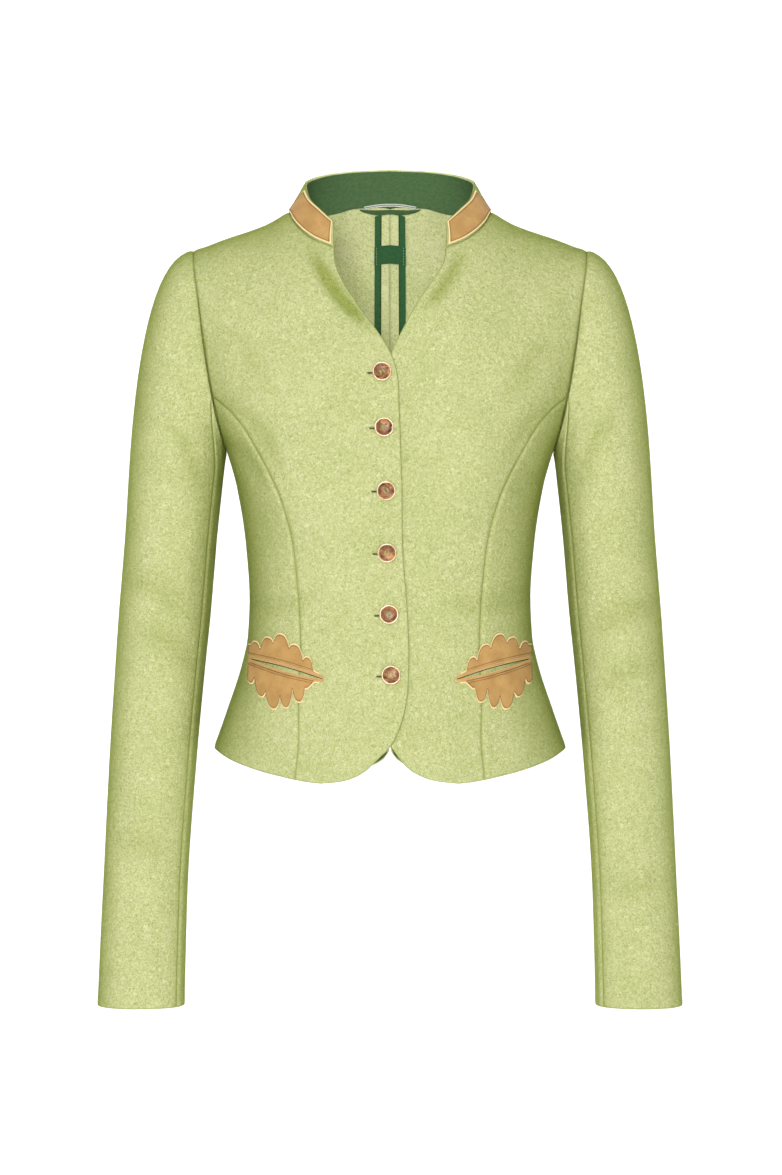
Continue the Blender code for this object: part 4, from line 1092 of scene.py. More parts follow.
def felt_group() -> bpy.types.NodeTree:
    """The felted curl of boiled wool: a height and two masks, from the place on the cloth."""
    group = bpy.data.node_groups.new("felted_curl", "ShaderNodeTree")
    open_sockets(group, "INPUT", {"Place": "Vector", "Curl Scale": "Float"})
    open_sockets(group, "OUTPUT", {"Height": "Float", "Melange": "Float", "Cloud": "Float"})
    g = Graph(group)
    entry = g.node("NodeGroupInput")
    leave = g.node("NodeGroupOutput")
    place = entry.outputs["Place"]
    scale = entry.outputs["Curl Scale"]
    warp = g.node("ShaderNodeTexNoise", {"Vector": place, "Scale": 160.0, "Detail": 2.0})
    centred = {0: warp.outputs["Color"], 1: (0.5, 0.5, 0.5)}
    push = g.node("ShaderNodeVectorMath", centred, operation="SUBTRACT")
    reach = g.node("ShaderNodeVectorMath", {0: push.outputs[0], "Scale": 0.006}, operation="SCALE")
    bent = g.node("ShaderNodeVectorMath", {0: place, 1: reach.outputs[0]}, operation="ADD").outputs[0]
    curl = g.noise(bent, scale, detail=3.0, roughness=0.62, distortion=1.6)
    fine = g.noise(bent, g.math("MULTIPLY", scale, 3.1), detail=2.0, distortion=2.2)
    coarse = g.noise(place, g.math("MULTIPLY", scale, 0.36), detail=2.0)
    cells = {"Vector": bent, "Scale": g.math("MULTIPLY", scale, 0.85), "Randomness": 1.0}
    knots = g.node("ShaderNodeTexVoronoi", cells, feature="SMOOTH_F1").outputs["Distance"]
    height = g.math("ADD", g.total(curl, 0.9, fine, 0.35), g.total(knots, -0.35, coarse, 0.8))
    melange = g.total(curl, 0.6, fine, 0.4)
    g.fill(leave, {"Height": height, "Melange": melange, "Cloud": g.noise(place, 26.0, detail=3.0)})
    return group


@dataclass(frozen=True)
class WoolFinish:
    """Boiled wool in a melange of yarn colours, with painted shade near its edges, in its creases and where
    it turns away, and painted light on its inner face.
    """

    light: Colour = linear(228, 230, 182)
    middle: Colour = linear(209, 213, 149)
    dark: Colour = linear(170, 179, 100)
    # Painted light on the inner face, and painted shade in the creases and where the cloth turns away
    inside_light_gain: Colour = (1.58, 1.54, 1.80)
    shade_gain: Colour = (0.49, 0.55, 0.19)
    curl_scale: float = 540.0
    bump: float = 0.0016
    # Painted shade near seams and edges
    edge_reach: float = 1.8
    edge_shade: float = 0.75
    fold_depth: float = 2.4
    fold_shade: float = 0.80
    turn_start: float = 0.14
    turn_end: float = 0.80
    turn_shade: float = 0.92

    def build(self, group: bpy.types.NodeTree) -> Material:
        """The material.

        Args:
            group: The shared felt pattern.

        Returns:
            The material.
        """
        material, g, shader = new_material("boiled_wool")
        inputs = {"Place": g.place(), "Curl Scale": self.curl_scale}
        felt = g.node("ShaderNodeGroup", inputs, node_tree=group)
        shade = (*self.shade_gain, 1.0)
        colour = g.ramp(felt.outputs["Melange"], ((0.40, self.dark), (0.50, self.middle), (0.60, self.light)))
        cloud = g.ramp(felt.outputs["Cloud"], ((0.35, (0.93, 0.95, 0.90)), (0.65, (1.0, 1.0, 1.0))))
        colour = g.mix(1.0, colour, cloud, "MULTIPLY")
        # Painted shade: near seams and edges the cloth is mixed towards the dark yarn colour.
        wear_and_edge_shade = g.spread(g.attribute("edge"), 0.0, self.edge_reach, self.edge_shade, 0.0)
        colour = g.mix(wear_and_edge_shade, colour, (*self.dark, 1.0))
        # Painted shade: the creases' troughs are darkened by their depth.
        hollow = g.spread(g.attribute("fold"), 0.0, self.fold_depth, 0.0, self.fold_shade)
        colour = g.mix(hollow, colour, shade, "MULTIPLY")
        # Painted light: the inner face is brightened.
        inside = g.attribute("lining_face")
        colour = g.mix(inside, colour, g.mix(1.0, colour, (*self.inside_light_gain, 1.0), "MULTIPLY"))
        # Painted shade: the outer face darkens where it turns away from the view.
        turned = g.node("ShaderNodeLayerWeight", {"Blend": 0.5}).outputs["Facing"]
        rounding = g.spread(turned, self.turn_start, self.turn_end, 0.0, self.turn_shade)
        rounding = g.math("MULTIPLY", rounding, g.math("SUBTRACT", 1.0, inside))
        values = {
            "Base Color": g.mix(rounding, colour, shade, "MULTIPLY"),
            "Normal": g.bump(felt.outputs["Height"], 0.9, self.bump),
            "Roughness": 0.95,
            "Specular IOR Level": 0.12,
            "Sheen Weight": 0.04,
            "Sheen Roughness": 0.5,
            "Sheen Tint": (*linear(225, 235, 170), 1.0),
        }
        g.fill(shader, values)
        return material


@dataclass(frozen=True)
class SuedeFinish:
    """Tan suede with a pale raw edge."""

    name: str = "tan_suede"
    base: Colour = linear(182, 142, 86)
    # The paler tone of rubbed patches, laid at random
    wear_and_edge_shade: Colour = linear(200, 160, 100)
    raw: Colour = linear(246, 222, 166)
    raw_width: float = 1.15
    raw_fade: float = 0.45

    def build(self) -> Material:
        """The material."""
        material, g, shader = new_material(self.name)
        place = g.place()
        nap = g.noise(place, 900.0, detail=4.0, roughness=0.65)
        patch = g.noise(place, 70.0, detail=3.0)
        colour = g.ramp(patch, ((0.35, self.base), (0.68, self.wear_and_edge_shade)))
        shade = g.ramp(nap, ((0.3, (0.84, 0.82, 0.80)), (0.7, (1.04, 1.03, 1.02))))
        colour = g.mix(1.0, colour, shade, "MULTIPLY")
        ragged = g.math("ADD", g.attribute("edge"), g.math("MULTIPLY", patch, 0.5))
        rim = g.spread(ragged, self.raw_width, self.raw_width + self.raw_fade, 1.0, 0.0)
        values = {
            "Base Color": g.mix(rim, colour, (*self.raw, 1.0)),
            "Normal": g.bump(nap, 0.6, 0.0003),
            "Roughness": 0.88,
            "Specular IOR Level": 0.15,
            "Sheen Weight": 0.05,
        }
        g.fill(shader, values)
        return material


@dataclass(frozen=True)
class WovenFinish:
    """A plainly woven cloth or ribbon, its weave laid by the piece's own UV map."""

    name: str
    warp: Colour
    weft: Colour
    thread: float = 0.0006
    roughness: float = 0.85
    stripe: bool = False

    def build(self) -> Material:
        """The material."""
        material, g, shader = new_material(self.name)
        place = g.node("ShaderNodeUVMap", uv_map="cloth").outputs["UV"]
        axes = g.node("ShaderNodeSeparateXYZ", {0: place})
        waves = []
        for axis in ("X", "Y"):
            turn = g.math("MULTIPLY", axes.outputs[axis], math.pi / self.thread)
            waves.append(g.math("ABSOLUTE", g.math("SINE", turn)))
        weave = g.math("MULTIPLY", waves[0], waves[1])
        mixed = g.total(weave, 0.5, g.noise(place, 380.0, detail=3.0), 0.6)
        colour = g.ramp(mixed, ((0.25, self.warp), (0.75, self.weft)))
        if self.stripe:
            band = g.math("PINGPONG", axes.outputs["X"], 0.0013)
            dark = g.spread(band, 0.0008, 0.0011, 0.0, 1.0)
            colour = g.mix(dark, colour, (0.03, 0.05, 0.035, 1.0))
        values = {
            "Base Color": colour,
            "Normal": g.bump(mixed, 0.5, 0.0002),
            "Roughness": self.roughness,
            "Specular IOR Level": 0.25,
        }
        g.fill(shader, values)
        return material


@dataclass(frozen=True)
class HornFinish:
    """Mottled brown horn, polished."""

    pale: Colour = linear(196, 140, 82)
    brown: Colour = linear(132, 80, 36)
    dark: Colour = linear(44, 28, 16)

    def build(self) -> Material:
        """The material."""
        material, g, shader = new_material("mottled_horn")
        place = g.place()
        blotch = g.noise(place, 150.0, detail=4.0, distortion=1.2)
        vein = g.noise(place, 520.0, detail=3.0, distortion=2.5)
        mixed = g.total(blotch, 0.75, vein, 0.3)
        colour = g.ramp(mixed, ((0.36, self.dark), (0.52, self.brown), (0.68, self.pale)))
        rough = g.spread(vein, 0.0, 1.0, 0.40, 0.62)
        g.fill(shader, {"Base Color": colour, "Roughness": rough, "Coat Weight": 0.08})
        return material


@dataclass(frozen=True)
class RimFinish:
    """Warm pale metal, slightly brushed."""

    bright: Colour = linear(255, 238, 214)
    dull: Colour = linear(232, 188, 142)

    def build(self) -> Material:
        """The material."""
        material, g, shader = new_material("copper_rim")
        wear = g.noise(g.place(), 900.0, detail=3.0)
        colour = g.ramp(wear, ((0.35, self.dull), (0.6, self.bright)))
        rough = g.spread(wear, 0.0, 1.0, 0.22, 0.5)
        g.fill(shader, {"Base Color": colour, "Roughness": rough, "Metallic": 1.0})
        return material


@dataclass(frozen=True)
class ThreadFinish:
    """Twisted sewing thread, also laid as dark strips of painted shadow in each slit and under each lower
    welt.
    """

    name: str
    colour: Colour

    def build(self) -> Material:
        """The material."""
        material, g, shader = new_material(self.name)
        ply = g.noise(g.place(), 2400.0, detail=1.0)
        low = tuple(value * 0.72 for value in self.colour)
        colour = g.ramp(ply, ((0.4, low), (0.6, self.colour)))
        g.fill(shader, {"Base Color": colour, "Normal": g.bump(ply, 0.4, 0.0001), "Roughness": 0.7})
        return material


def new_material(name: str) -> tuple[Material, Graph, bpy.types.Node]:
    """A material with its graph and its shader."""
    material = bpy.data.materials.new(name)
    material.use_nodes = True
    tree = material.node_tree
    return material, Graph(tree), tree.nodes["Principled BSDF"]


@dataclass(frozen=True)
class Wardrobe:
    """Every finish of the jacket."""

    wool: Material
    suede: Material
    welt: Material
    green: Material
    binding: Material
    label: Material
    ribbon: Material
    horn: Material
    rim: Material
    brown_thread: Material
    green_thread: Material
    dark_thread: Material
    pale_thread: Material
    # Dark strips of painted shadow, laid like thread
    slit_thread: Material
    fold_thread: Material
    label_thread: Material

    @classmethod
    def make(cls) -> Wardrobe:
        """Build every finish."""
        leaf_green = linear(38, 84, 48), linear(66, 114, 70)
        silver = linear(188, 194, 180), linear(236, 240, 228)
        welt = SuedeFinish("tan_suede_welt", linear(190, 146, 86), linear(206, 164, 102), raw_width=0.25)
        return cls(
            wool=WoolFinish().build(felt_group()),
            suede=SuedeFinish().build(),
            welt=welt.build(),
            green=WovenFinish("green_cloth", linear(54, 86, 50), linear(92, 122, 78), 0.0008).build(),
            binding=WovenFinish("green_binding", *leaf_green, 0.0006, 0.8).build(),
            label=WovenFinish("green_label", linear(32, 80, 46), linear(58, 108, 64), 0.0004, 0.6).build(),
            ribbon=WovenFinish("silver_ribbon", *silver, 0.0004, 0.5, stripe=True).build(),
            horn=HornFinish().build(),
            rim=RimFinish().build(),
            brown_thread=ThreadFinish("brown_thread", linear(124, 74, 34)).build(),
            green_thread=ThreadFinish("green_thread", linear(150, 176, 96)).build(),
            dark_thread=ThreadFinish("dark_thread", linear(6, 20, 10)).build(),
            pale_thread=ThreadFinish("pale_thread", linear(206, 200, 108)).build(),
            # Dark strips of painted shadow
            slit_thread=ThreadFinish("slit_shadow", linear(34, 30, 10)).build(),
            fold_thread=ThreadFinish("fold_shadow", linear(84, 48, 18)).build(),
            label_thread=ThreadFinish("label_thread", linear(186, 208, 150)).build(),
        )


# Stitches


class StitchTree:
    """A node tree that lays stitches along the lines of a mesh."""

    def __init__(self) -> None:
        """Build the tree."""
        self.tree = bpy.data.node_groups.new("stitch_rows", "GeometryNodeTree")
        sizes = {"Pitch": "Float", "Stitch Length": "Float", "Thread Radius": "Float"}
        kinds = {"Geometry": "Geometry", **sizes, "Seed": "Int", "Thread": "Material"}
        open_sockets(self.tree, "INPUT", kinds)
        open_sockets(self.tree, "OUTPUT", {"Geometry": "Geometry"})
        g = Graph(self.tree)
        entry = g.node("NodeGroupInput")
        curve = g.node("GeometryNodeMeshToCurve", {"Mesh": entry.outputs["Geometry"]})
        spacing = {"Curve": curve.outputs[0], "Length": entry.outputs["Pitch"]}
        even = g.node("GeometryNodeResampleCurve", spacing, mode="LENGTH")
        points = g.node("GeometryNodeCurveToPoints", {"Curve": even.outputs[0]}, mode="EVALUATED")
        turn = g.node("FunctionNodeAlignRotationToVector", {"Vector": points.outputs["Tangent"]}, axis="Z")
        uneven = {"Seed": entry.outputs["Seed"], 2: 0.84, 3: 1.08}
        wobble = g.node("FunctionNodeRandomValue", uneven, data_type="FLOAT")
        half = g.math("MULTIPLY", entry.outputs["Stitch Length"], 0.5)
        long = g.math("MULTIPLY", half, wobble.outputs[1])
        radius = entry.outputs["Thread Radius"]
        size = g.node("ShaderNodeCombineXYZ", {0: radius, 1: radius, 2: long})
        bead = g.node("GeometryNodeMeshUVSphere", {"Segments": 6, "Rings": 5, "Radius": 1.0})
        beads = {
            "Points": points.outputs[0],
            "Instance": bead.outputs[0],
            "Rotation": turn.outputs[0],
            "Scale": size.outputs[0],
        }
        laid = g.node("GeometryNodeInstanceOnPoints", beads)
        real = g.node("GeometryNodeRealizeInstances", {0: laid.outputs[0]})
        finish = {"Geometry": real.outputs[0], "Material": entry.outputs["Thread"]}
        dressed = g.node("GeometryNodeSetMaterial", finish)
        leave = g.node("NodeGroupOutput")
        self.tree.links.new(dressed.outputs[0], leave.inputs[0])

    def sew(self, name: str, lines: list[np.ndarray], thread: Material, stitch: Stitch, slot: str) -> None:
        """Lay stitches along lines and hand the piece over.

        Args:
            name: The piece's name.
            lines: The lines, each an array of points.
            thread: The thread's finish.
            stitch: The stitches' sizes.
            slot: The material slot of what it is sewn on, not used.
        """
        mesh = bpy.data.meshes.new(f"{name}_lines")
        points = np.concatenate(lines)
        edges = []
        start = 0
        for line in lines:
            edges += [(start + k, start + k + 1) for k in range(len(line) - 1)]
            start += len(line)
        mesh.from_pydata(points.tolist(), edges, [])
        guide = bpy.data.objects.new(f"{name}_lines", mesh)
        bpy.context.scene.collection.objects.link(guide)
        rows = guide.modifiers.new("stitches", "NODES")
        rows.node_group = self.tree
        values = {"Pitch": stitch.pitch, "Stitch Length": stitch.length, "Thread Radius": stitch.radius}
        values.update({"Seed": STITCH_SEED, "Thread": thread})
        for item in self.tree.interface.items_tree:
            if item.in_out == "INPUT" and item.name in values:
                rows[item.identifier] = values[item.name]
        graph = bpy.context.evaluated_depsgraph_get()
        made = bpy.data.meshes.new_from_object(guide.evaluated_get(graph))
        made.name = name
        bpy.data.objects.remove(guide)
        piece = bpy.data.objects.new(name, made)
        bpy.context.scene.collection.objects.link(piece)
        made.shade_smooth()
        if not made.materials:
            made.materials.append(thread)
        hand_over(piece, slot)


# Sub-assemblies


@dataclass
class Body:
    """The torso's six wool panels."""

    overlap_gap: float = 0.0010
    overlap_full_x: float = 0.0200
    overlap_none_x: float = 0.0560
    overlap_full_height: float = -0.1500
    overlap_none_height: float = -0.1100
    lower_rows: int = 56
    upper_rows: int = 26
    neck_columns: int = 15
    shoulder_columns: int = 15
    side_columns: int = 30
    junction_share: float = 13 / 19
    neck_share: float = 0.80

    def lift(self, sign: int, spot: np.ndarray) -> float:
        """How far a front moves out or in, so that one can lie on the other."""
        across = (self.overlap_none_x - spot[0]) / (self.overlap_none_x - self.overlap_full_x)
        stretch = self.overlap_none_height - self.overlap_full_height
        up = (self.overlap_none_height - FORM.height_of(spot[1])) / stretch
        return sign * (WOOL + self.overlap_gap) / 2 * smooth_step(across) * smooth_step(up)

    def front_place(self, sign: int) -> Place:
        """The surface of one front with its overlap."""

        def place(spot: np.ndarray) -> np.ndarray:
            """The front's point, moved out or in."""
            distance = self.lift(sign, spot)
            point = FORM.front(spot)
            return point if distance == 0 else point + FORM.normal(FORM.front, spot) * distance

        return place

    def long_shares(self) -> tuple[list[float], list[float], list[float]]:
        """The shares along the lower seam, up the armhole, and along the whole free edge."""
        lower = stations(self.lower_rows, 0.35, end=False)
        upper = stations(self.upper_rows, 0.16, start=False)[1:]
        whole = [share * self.junction_share for share in lower]
        whole += [self.junction_share + share * (1 - self.junction_share) for share in upper]
        return lower, upper, whole

    def panel(
        self, inner: tuple[Spots, Spots], outer: tuple[Spots, Spots], place: Place, hem: tuple[float, float]
    ) -> np.ndarray:
        """The spots of a front or a back panel, whose top is the shoulder seam.

        Args:
            inner: The free edge or centre seam, hem to neck, and the neckline.
            outer: The seam to the side panel and the armhole's edge.
            place: The surface.
            hem: The angles of the hem's two ends.

        Returns:
            The grid of spots.
        """
        lower, upper, whole = self.long_shares()
        across = stations(self.neck_columns + self.shoulder_columns, 0.15)
        low = [share for share in whole if share <= self.neck_share]
        high = [share for share in whole if share > self.neck_share]
        turn = low[-1]
        first = spaced(inner[0], place, [share / turn for share in low])
        first += spaced(inner[1], place, [(share - turn) / (1 - turn) for share in high])
        last = spaced(outer[0], place, lower) + spaced(outer[1], place, upper)
        top = spaced(FORM.shoulder(), place, across)
        bottom = [FORM.hem_spot(hem[0] + (hem[1] - hem[0]) * share) for share in across]
        return blended(first, last, bottom, top, across, whole)

    def build(self, finishes: Wardrobe) -> None:
        """Build the panels.

        Args:
            finishes: The jacket's finishes.
        """
        for side, edge, sign in ((Side.RIGHT, UPPER_FRONT_EDGE, 1), (Side.LEFT, UNDER_FRONT_EDGE, -1)):
            place = self.front_place(sign)
            corner = FORM.hem_spot(FRONT_CORNER_ANGLE)
            spots = self.panel(
                (smooth_curve([corner, *FORM.spots_of(edge)]), smooth_curve(FORM.spots_of(FRONT_NECKLINE))),
                (FORM.princess(), FORM.armhole(PRINCESS_TOP)),
                place,
                (FRONT_CORNER_ANGLE, PRINCESS_HEM_ANGLE),
            )
            edges = (Edge.FOLD, Edge.SEAM, Edge.FOLD, Edge.SEAM)
            sheet = Sheet(f"wool_front_{side.word}", placed(spots, place), WOOL, edges, side, creased=True)
            sew(sheet, finishes.wool, "wool", f"front_{side.word}")
            self.build_side(side, finishes)
            self.build_back(side, finishes)

    def build_side(self, side: Side, finishes: Wardrobe) -> None:
        """Build one side panel."""
        lower = stations(self.lower_rows, 0.35)
        across = stations(self.side_columns, 0.16)
        inner = [FORM.angle_of(Face.FRONT, spot) for spot in spaced(FORM.princess(), FORM.front, lower)]
        outer = [FORM.angle_of(Face.BACK, spot) for spot in spaced(FORM.back_seam(), FORM.back, lower)]
        top = spaced(FORM.underarm(), FORM.round, across)
        turn = BACK_SEAM_HEM_ANGLE - PRINCESS_HEM_ANGLE
        angles = [PRINCESS_HEM_ANGLE + turn * share for share in across]
        bottom = [np.array((angle, FORM.run_of(table_value(HEM, "height", angle)))) for angle in angles]
        spots = blended(inner, outer, bottom, top, across, lower)
        edges = (Edge.FOLD, Edge.SEAM, Edge.SEAM, Edge.SEAM)
        sheet = Sheet(f"wool_side_{side.word}", placed(spots, FORM.round), WOOL, edges, side, creased=True)
        sew(sheet, finishes.wool, "wool", f"side_{side.word}")

    def build_back(self, side: Side, finishes: Wardrobe) -> None:
        """Build one back panel."""
        corner = FORM.hem_spot(VENT_CORNER_ANGLE)
        spots = self.panel(
            (smooth_curve([corner, *FORM.spots_of(VENT_EDGE)]), smooth_curve(FORM.spots_of(BACK_NECKLINE))),
            (FORM.back_seam(), FORM.armhole(BACK_SEAM_TOP)),
            FORM.back,
            (VENT_CORNER_ANGLE, BACK_SEAM_HEM_ANGLE),
        )
        edges = (Edge.FOLD, Edge.SEAM, Edge.SEAM, Edge.SEAM)
        grid = placed(spots, FORM.back)
        sheet = Sheet(f"wool_back_{side.word}", grid, WOOL, edges, side, creased=True, flip=True)
        sew(sheet, finishes.wool, "wool", f"back_{side.word}")


@dataclass
class Sleeves:
    """The two-piece sleeves."""

    roundness: float = 2.15
    front_seam: float = 32.0
    back_seam: float = -50.0
    start_pull: float = 0.62
    end_pull: float = 0.96
    forward: float = 0.25
    droop: float = 0.05
    over_columns: int = 26
    under_columns: int = 26
    cap_rows: int = 20
    length: float = 0.48
    under_share: float = 0.30
    under_lift: float = 0.0003

    def point(self, angle: float, height: float) -> np.ndarray:
        """The sleeve's surface below its cap at an angle from its inner line towards the front."""
        columns = ("centre_x", "centre_y", "half_width", "half_depth")
        centre_x, centre_y, half_width, half_depth = (table_value(SLEEVE_RINGS, c, height) for c in columns)
        power = 2 / self.roundness
        cosine = math.cos(math.radians(angle))
        sine = math.sin(math.radians(angle))
        x = centre_x - half_width * math.copysign(abs(cosine) ** power, cosine)
        y = centre_y - half_depth * math.copysign(abs(sine) ** power, sine)
        return np.array((x, y, height))

    def cap(self, start: np.ndarray, away: np.ndarray, angle: float, shares: Sequence[float]) -> Spots:
        """Points from the armhole down over the cap to the first ring.

        Args:
            start: The armhole's point.
            away: The torso's outward direction there.
            angle: The sleeve's angle of this line.
            shares: The shares of the way down.

        Returns:
            A point for each share.
        """
        height = min(max((start[2] - ARMPIT) / SHOULDER_SPAN, 0.0), 1.0)
        under = 1 - smooth_step(height / self.under_share)
        start = start + away * self.under_lift * under
        first_ring = SLEEVE_RINGS[-1].height
        end = self.point(angle, first_ring)
        below = self.point(angle, first_ring - 0.01)
        span = float(np.linalg.norm(end - start))
        up = (1 - math.cos(math.pi * height)) / 2
        lean = -self.forward * math.sin(math.radians(angle)) * math.sin(math.pi * height)
        first = np.array((up**0.8, lean, -self.droop - (1 - up)))
        first *= span * self.start_pull / np.linalg.norm(first)
        last = (below - end) / np.linalg.norm(below - end) * span * self.end_pull
        return [bridge(start, first, end, last, share) for share in shares]

    def column(self, start: np.ndarray, away: np.ndarray, angle: float) -> np.ndarray:
        """One line of the sleeve, armhole to cuff."""
        points = self.cap(start, away, angle, stations(self.cap_rows, 0.12, end=False))
        first = SLEEVE_RINGS[-1].height
        last = SLEEVE_RINGS[0].height
        shares = stations(48, self.length, start=False)[1:]
        return np.array([*points, *(self.point(angle, first + (last - first) * share) for share in shares)])

    def build(self, finishes: Wardrobe) -> None:
        """Build both sleeves.

        Args:
            finishes: The jacket's finishes.
        """
        over = stations(self.over_columns, 0.16, end=False)
        over_back = [1 - share for share in reversed(stations(self.over_columns, 0.16, end=False))][1:]
        lines = []
        front = spaced(FORM.armhole(PRINCESS_TOP), FORM.front, over)
        for share, spot in zip(over, front):
            angle = self.front_seam + (180 - self.front_seam) * share
            lines.append(self.column(FORM.front(spot), FORM.normal(FORM.front, spot), angle))
        back = spaced(list(reversed(FORM.armhole(BACK_SEAM_TOP))), FORM.back, over_back)
        for share, spot in zip(over_back, back):
            angle = 180 + (180 + self.back_seam) * share
            lines.append(self.column(FORM.back(spot), FORM.normal(FORM.back, spot, -1), angle))
        top_grid = np.array(lines).transpose(1, 0, 2)
        under = stations(self.under_columns, 0.14)
        lines = []
        for share, spot in zip(under, spaced(list(reversed(FORM.underarm())), FORM.round, under)):
            angle = 360 + self.back_seam + (self.front_seam - self.back_seam) * share
            lines.append(self.column(FORM.round(spot), FORM.normal(FORM.round, spot, 1, 1e-3), angle))
        under_grid = np.array(lines).transpose(1, 0, 2)
        edges = (Edge.SEAM, Edge.FOLD, Edge.SEAM, Edge.SEAM)
        for side in Side:
            for half, grid in (("top", top_grid), ("under", under_grid)):
                name = f"wool_sleeve_{half}_{side.word}"
                sheet = Sheet(name, grid, WOOL, edges, side, creased=True, flip=True)
                node = f"sleeve_{half}_{side.word}"
                sew(sheet, finishes.wool, "wool", node)


@dataclass
class Collar:
    """The stand collar with its green facing and its suede fronts."""

    columns: int = 44
    belly: float = 0.0010
    facing_low: float = -0.02
    facing_high: float = 0.975
    facing_trim: int = 3
    patch_low: float = 0.06
    patch_high: float = 0.955
    patch_end: float = 0.60

    def half_base(self) -> tuple[np.ndarray, np.ndarray]:
        """The collar's foot from the centre back to the front end, and its shares."""
        back = smooth_curve(FORM.spots_of(BACK_NECKLINE))
        front = smooth_curve(FORM.spots_of(FRONT_NECKLINE))
        points = [FORM.back(spot) for spot in back] + [FORM.front(spot) for spot in reversed(front)][1:]
        points = np.array(points)
        run = np.concatenate([[0.0], np.cumsum(np.linalg.norm(np.diff(points, axis=0), axis=1))])
        shares = np.array([1 - share for share in reversed(stations(self.columns, 0.16, end=False))])
        foot = np.stack([np.interp(shares * run[-1], run, points[:, k]) for k in range(3)], axis=-1)
        return foot, shares

    def grid(self, ups: Sequence[float], reach: tuple[float, float] | None = None) -> np.ndarray:
        """The collar's outer surface.

        Args:
            ups: The shares of its height, from its foot.
            reach: The shares of the left half to keep, or nothing for the whole collar.

        Returns:
            The points, foot row first.
        """
        foot, shares = self.half_base()
        if reach:
            wanted = reach[0] + (reach[1] - reach[0]) * np.array(stations(30, 0.08))
            foot = np.stack([np.interp(wanted, shares, foot[:, k]) for k in range(3)], axis=-1)
            shares = wanted
        axes = ("x", "y", "z")
        tops = np.array([[table_value(COLLAR_TOP, axis, share) for axis in axes] for share in shares])
        away = foot * np.array((1, 1, 0)) - np.array((0, SIDE_PLANE, 0))
        away /= np.linalg.norm(away, axis=1, keepdims=True)
        rows = [foot + (tops - foot) * up + away * self.belly * math.sin(math.pi * up) for up in ups]
        grid = np.array(rows)
        if reach:
            return grid
        return np.concatenate([(grid * np.array((-1, 1, 1)))[:, :0:-1], grid], axis=1)

    def build(self, finishes: Wardrobe, stitches: StitchTree) -> None:
        """Build the collar.

        Args:
            finishes: The jacket's finishes.
            stitches: The stitch maker.
        """
        ups = stations(10, 0.030)
        edges = (Edge.SEAM, Edge.FOLD, Edge.FOLD, Edge.FOLD)
        sheet = Sheet("wool_collar_stand", self.grid(ups), WOOL, edges, flip=True)
        sew(sheet, finishes.wool, "wool", "collar_stand")
        spread = self.facing_high - self.facing_low
        outer = self.grid([self.facing_low + spread * up for up in ups])
        normals = green_sheet("facing_form", outer).normals()
        outer = (outer - normals * (WOOL + 0.0004))[:, self.facing_trim : -self.facing_trim]
        sheet = green_sheet("green_collar_facing", outer)
        sew(sheet, finishes.green, "green_cloth", "collar_facing")
        lines = []
        for side in Side:
            spread = self.patch_high - self.patch_low
            grid = self.grid([self.patch_low + spread * up for up in ups], (self.patch_end, 0.988))
            form = Sheet("patch_form", grid, SUEDE, ALL_RAW, flip=True)
            grid = grid + form.normals() * (SUEDE + 0.0003)
            name = f"suede_collar_patch_{side.word}"
            sheet = Sheet(name, grid, SUEDE, ALL_RAW, side, round_radius=THIN_ROUND, flip=True)
            sew(sheet, finishes.suede, "suede", f"collar_patch_{side.word}")
            lines += frame_lines(sheet, TOPSTITCH_INSET)
        stitches.sew("collar_patch_stitches", lines, finishes.brown_thread, COLLAR_STITCH, "suede")


def point_at(distance: float, run: np.ndarray, points: np.ndarray, clear: np.ndarray) -> np.ndarray:
    """The point of a line at a distance along it, with its clearance from the edges as a fourth number.

    Args:
        distance: How far along the line.
        run: The distance of each of its points.
        points: Its points.
        clear: Each point's distance from the nearest edge.

    Returns:
        The four numbers.
    """
    found = [np.interp(distance, run, points[:, k]) for k in range(3)]
    return np.array([*found, np.interp(distance, run, clear)])


def frame_lines(sheet: Sheet, inset: float) -> list[np.ndarray]:
    """A line on a sheet's outer face all round, inside its edge, left out where the sheet is too narrow.

    Args:
        sheet: The sheet.
        inset: The distance from the edge.

    Returns:
        The line as one closed array of points.
    """
    runs = sheet.distances()
    clear = np.minimum.reduce(runs)
    lifted = sheet.mirrored(sheet.grid + sheet.normals() * STITCH_LIFT)
    rows, columns = clear.shape
    loop = []
    for c in range(columns):
        loop.append(point_at(inset, runs[0][:, c], lifted[:, c], clear[:, c]))
    for r in range(rows):
        loop.append(point_at(runs[2][r, -1] - inset, runs[2][r], lifted[r], clear[r]))
    for c in reversed(range(columns)):
        loop.append(point_at(runs[0][-1, c] - inset, runs[0][:, c], lifted[:, c], clear[:, c]))
    for r in reversed(range(rows)):
        loop.append(point_at(inset, runs[2][r], lifted[r], clear[r]))
    kept = [spot[:3] for spot in loop if spot[3] > LEAST_CLEARANCE * inset]
    return [np.array([*kept, kept[0]])]


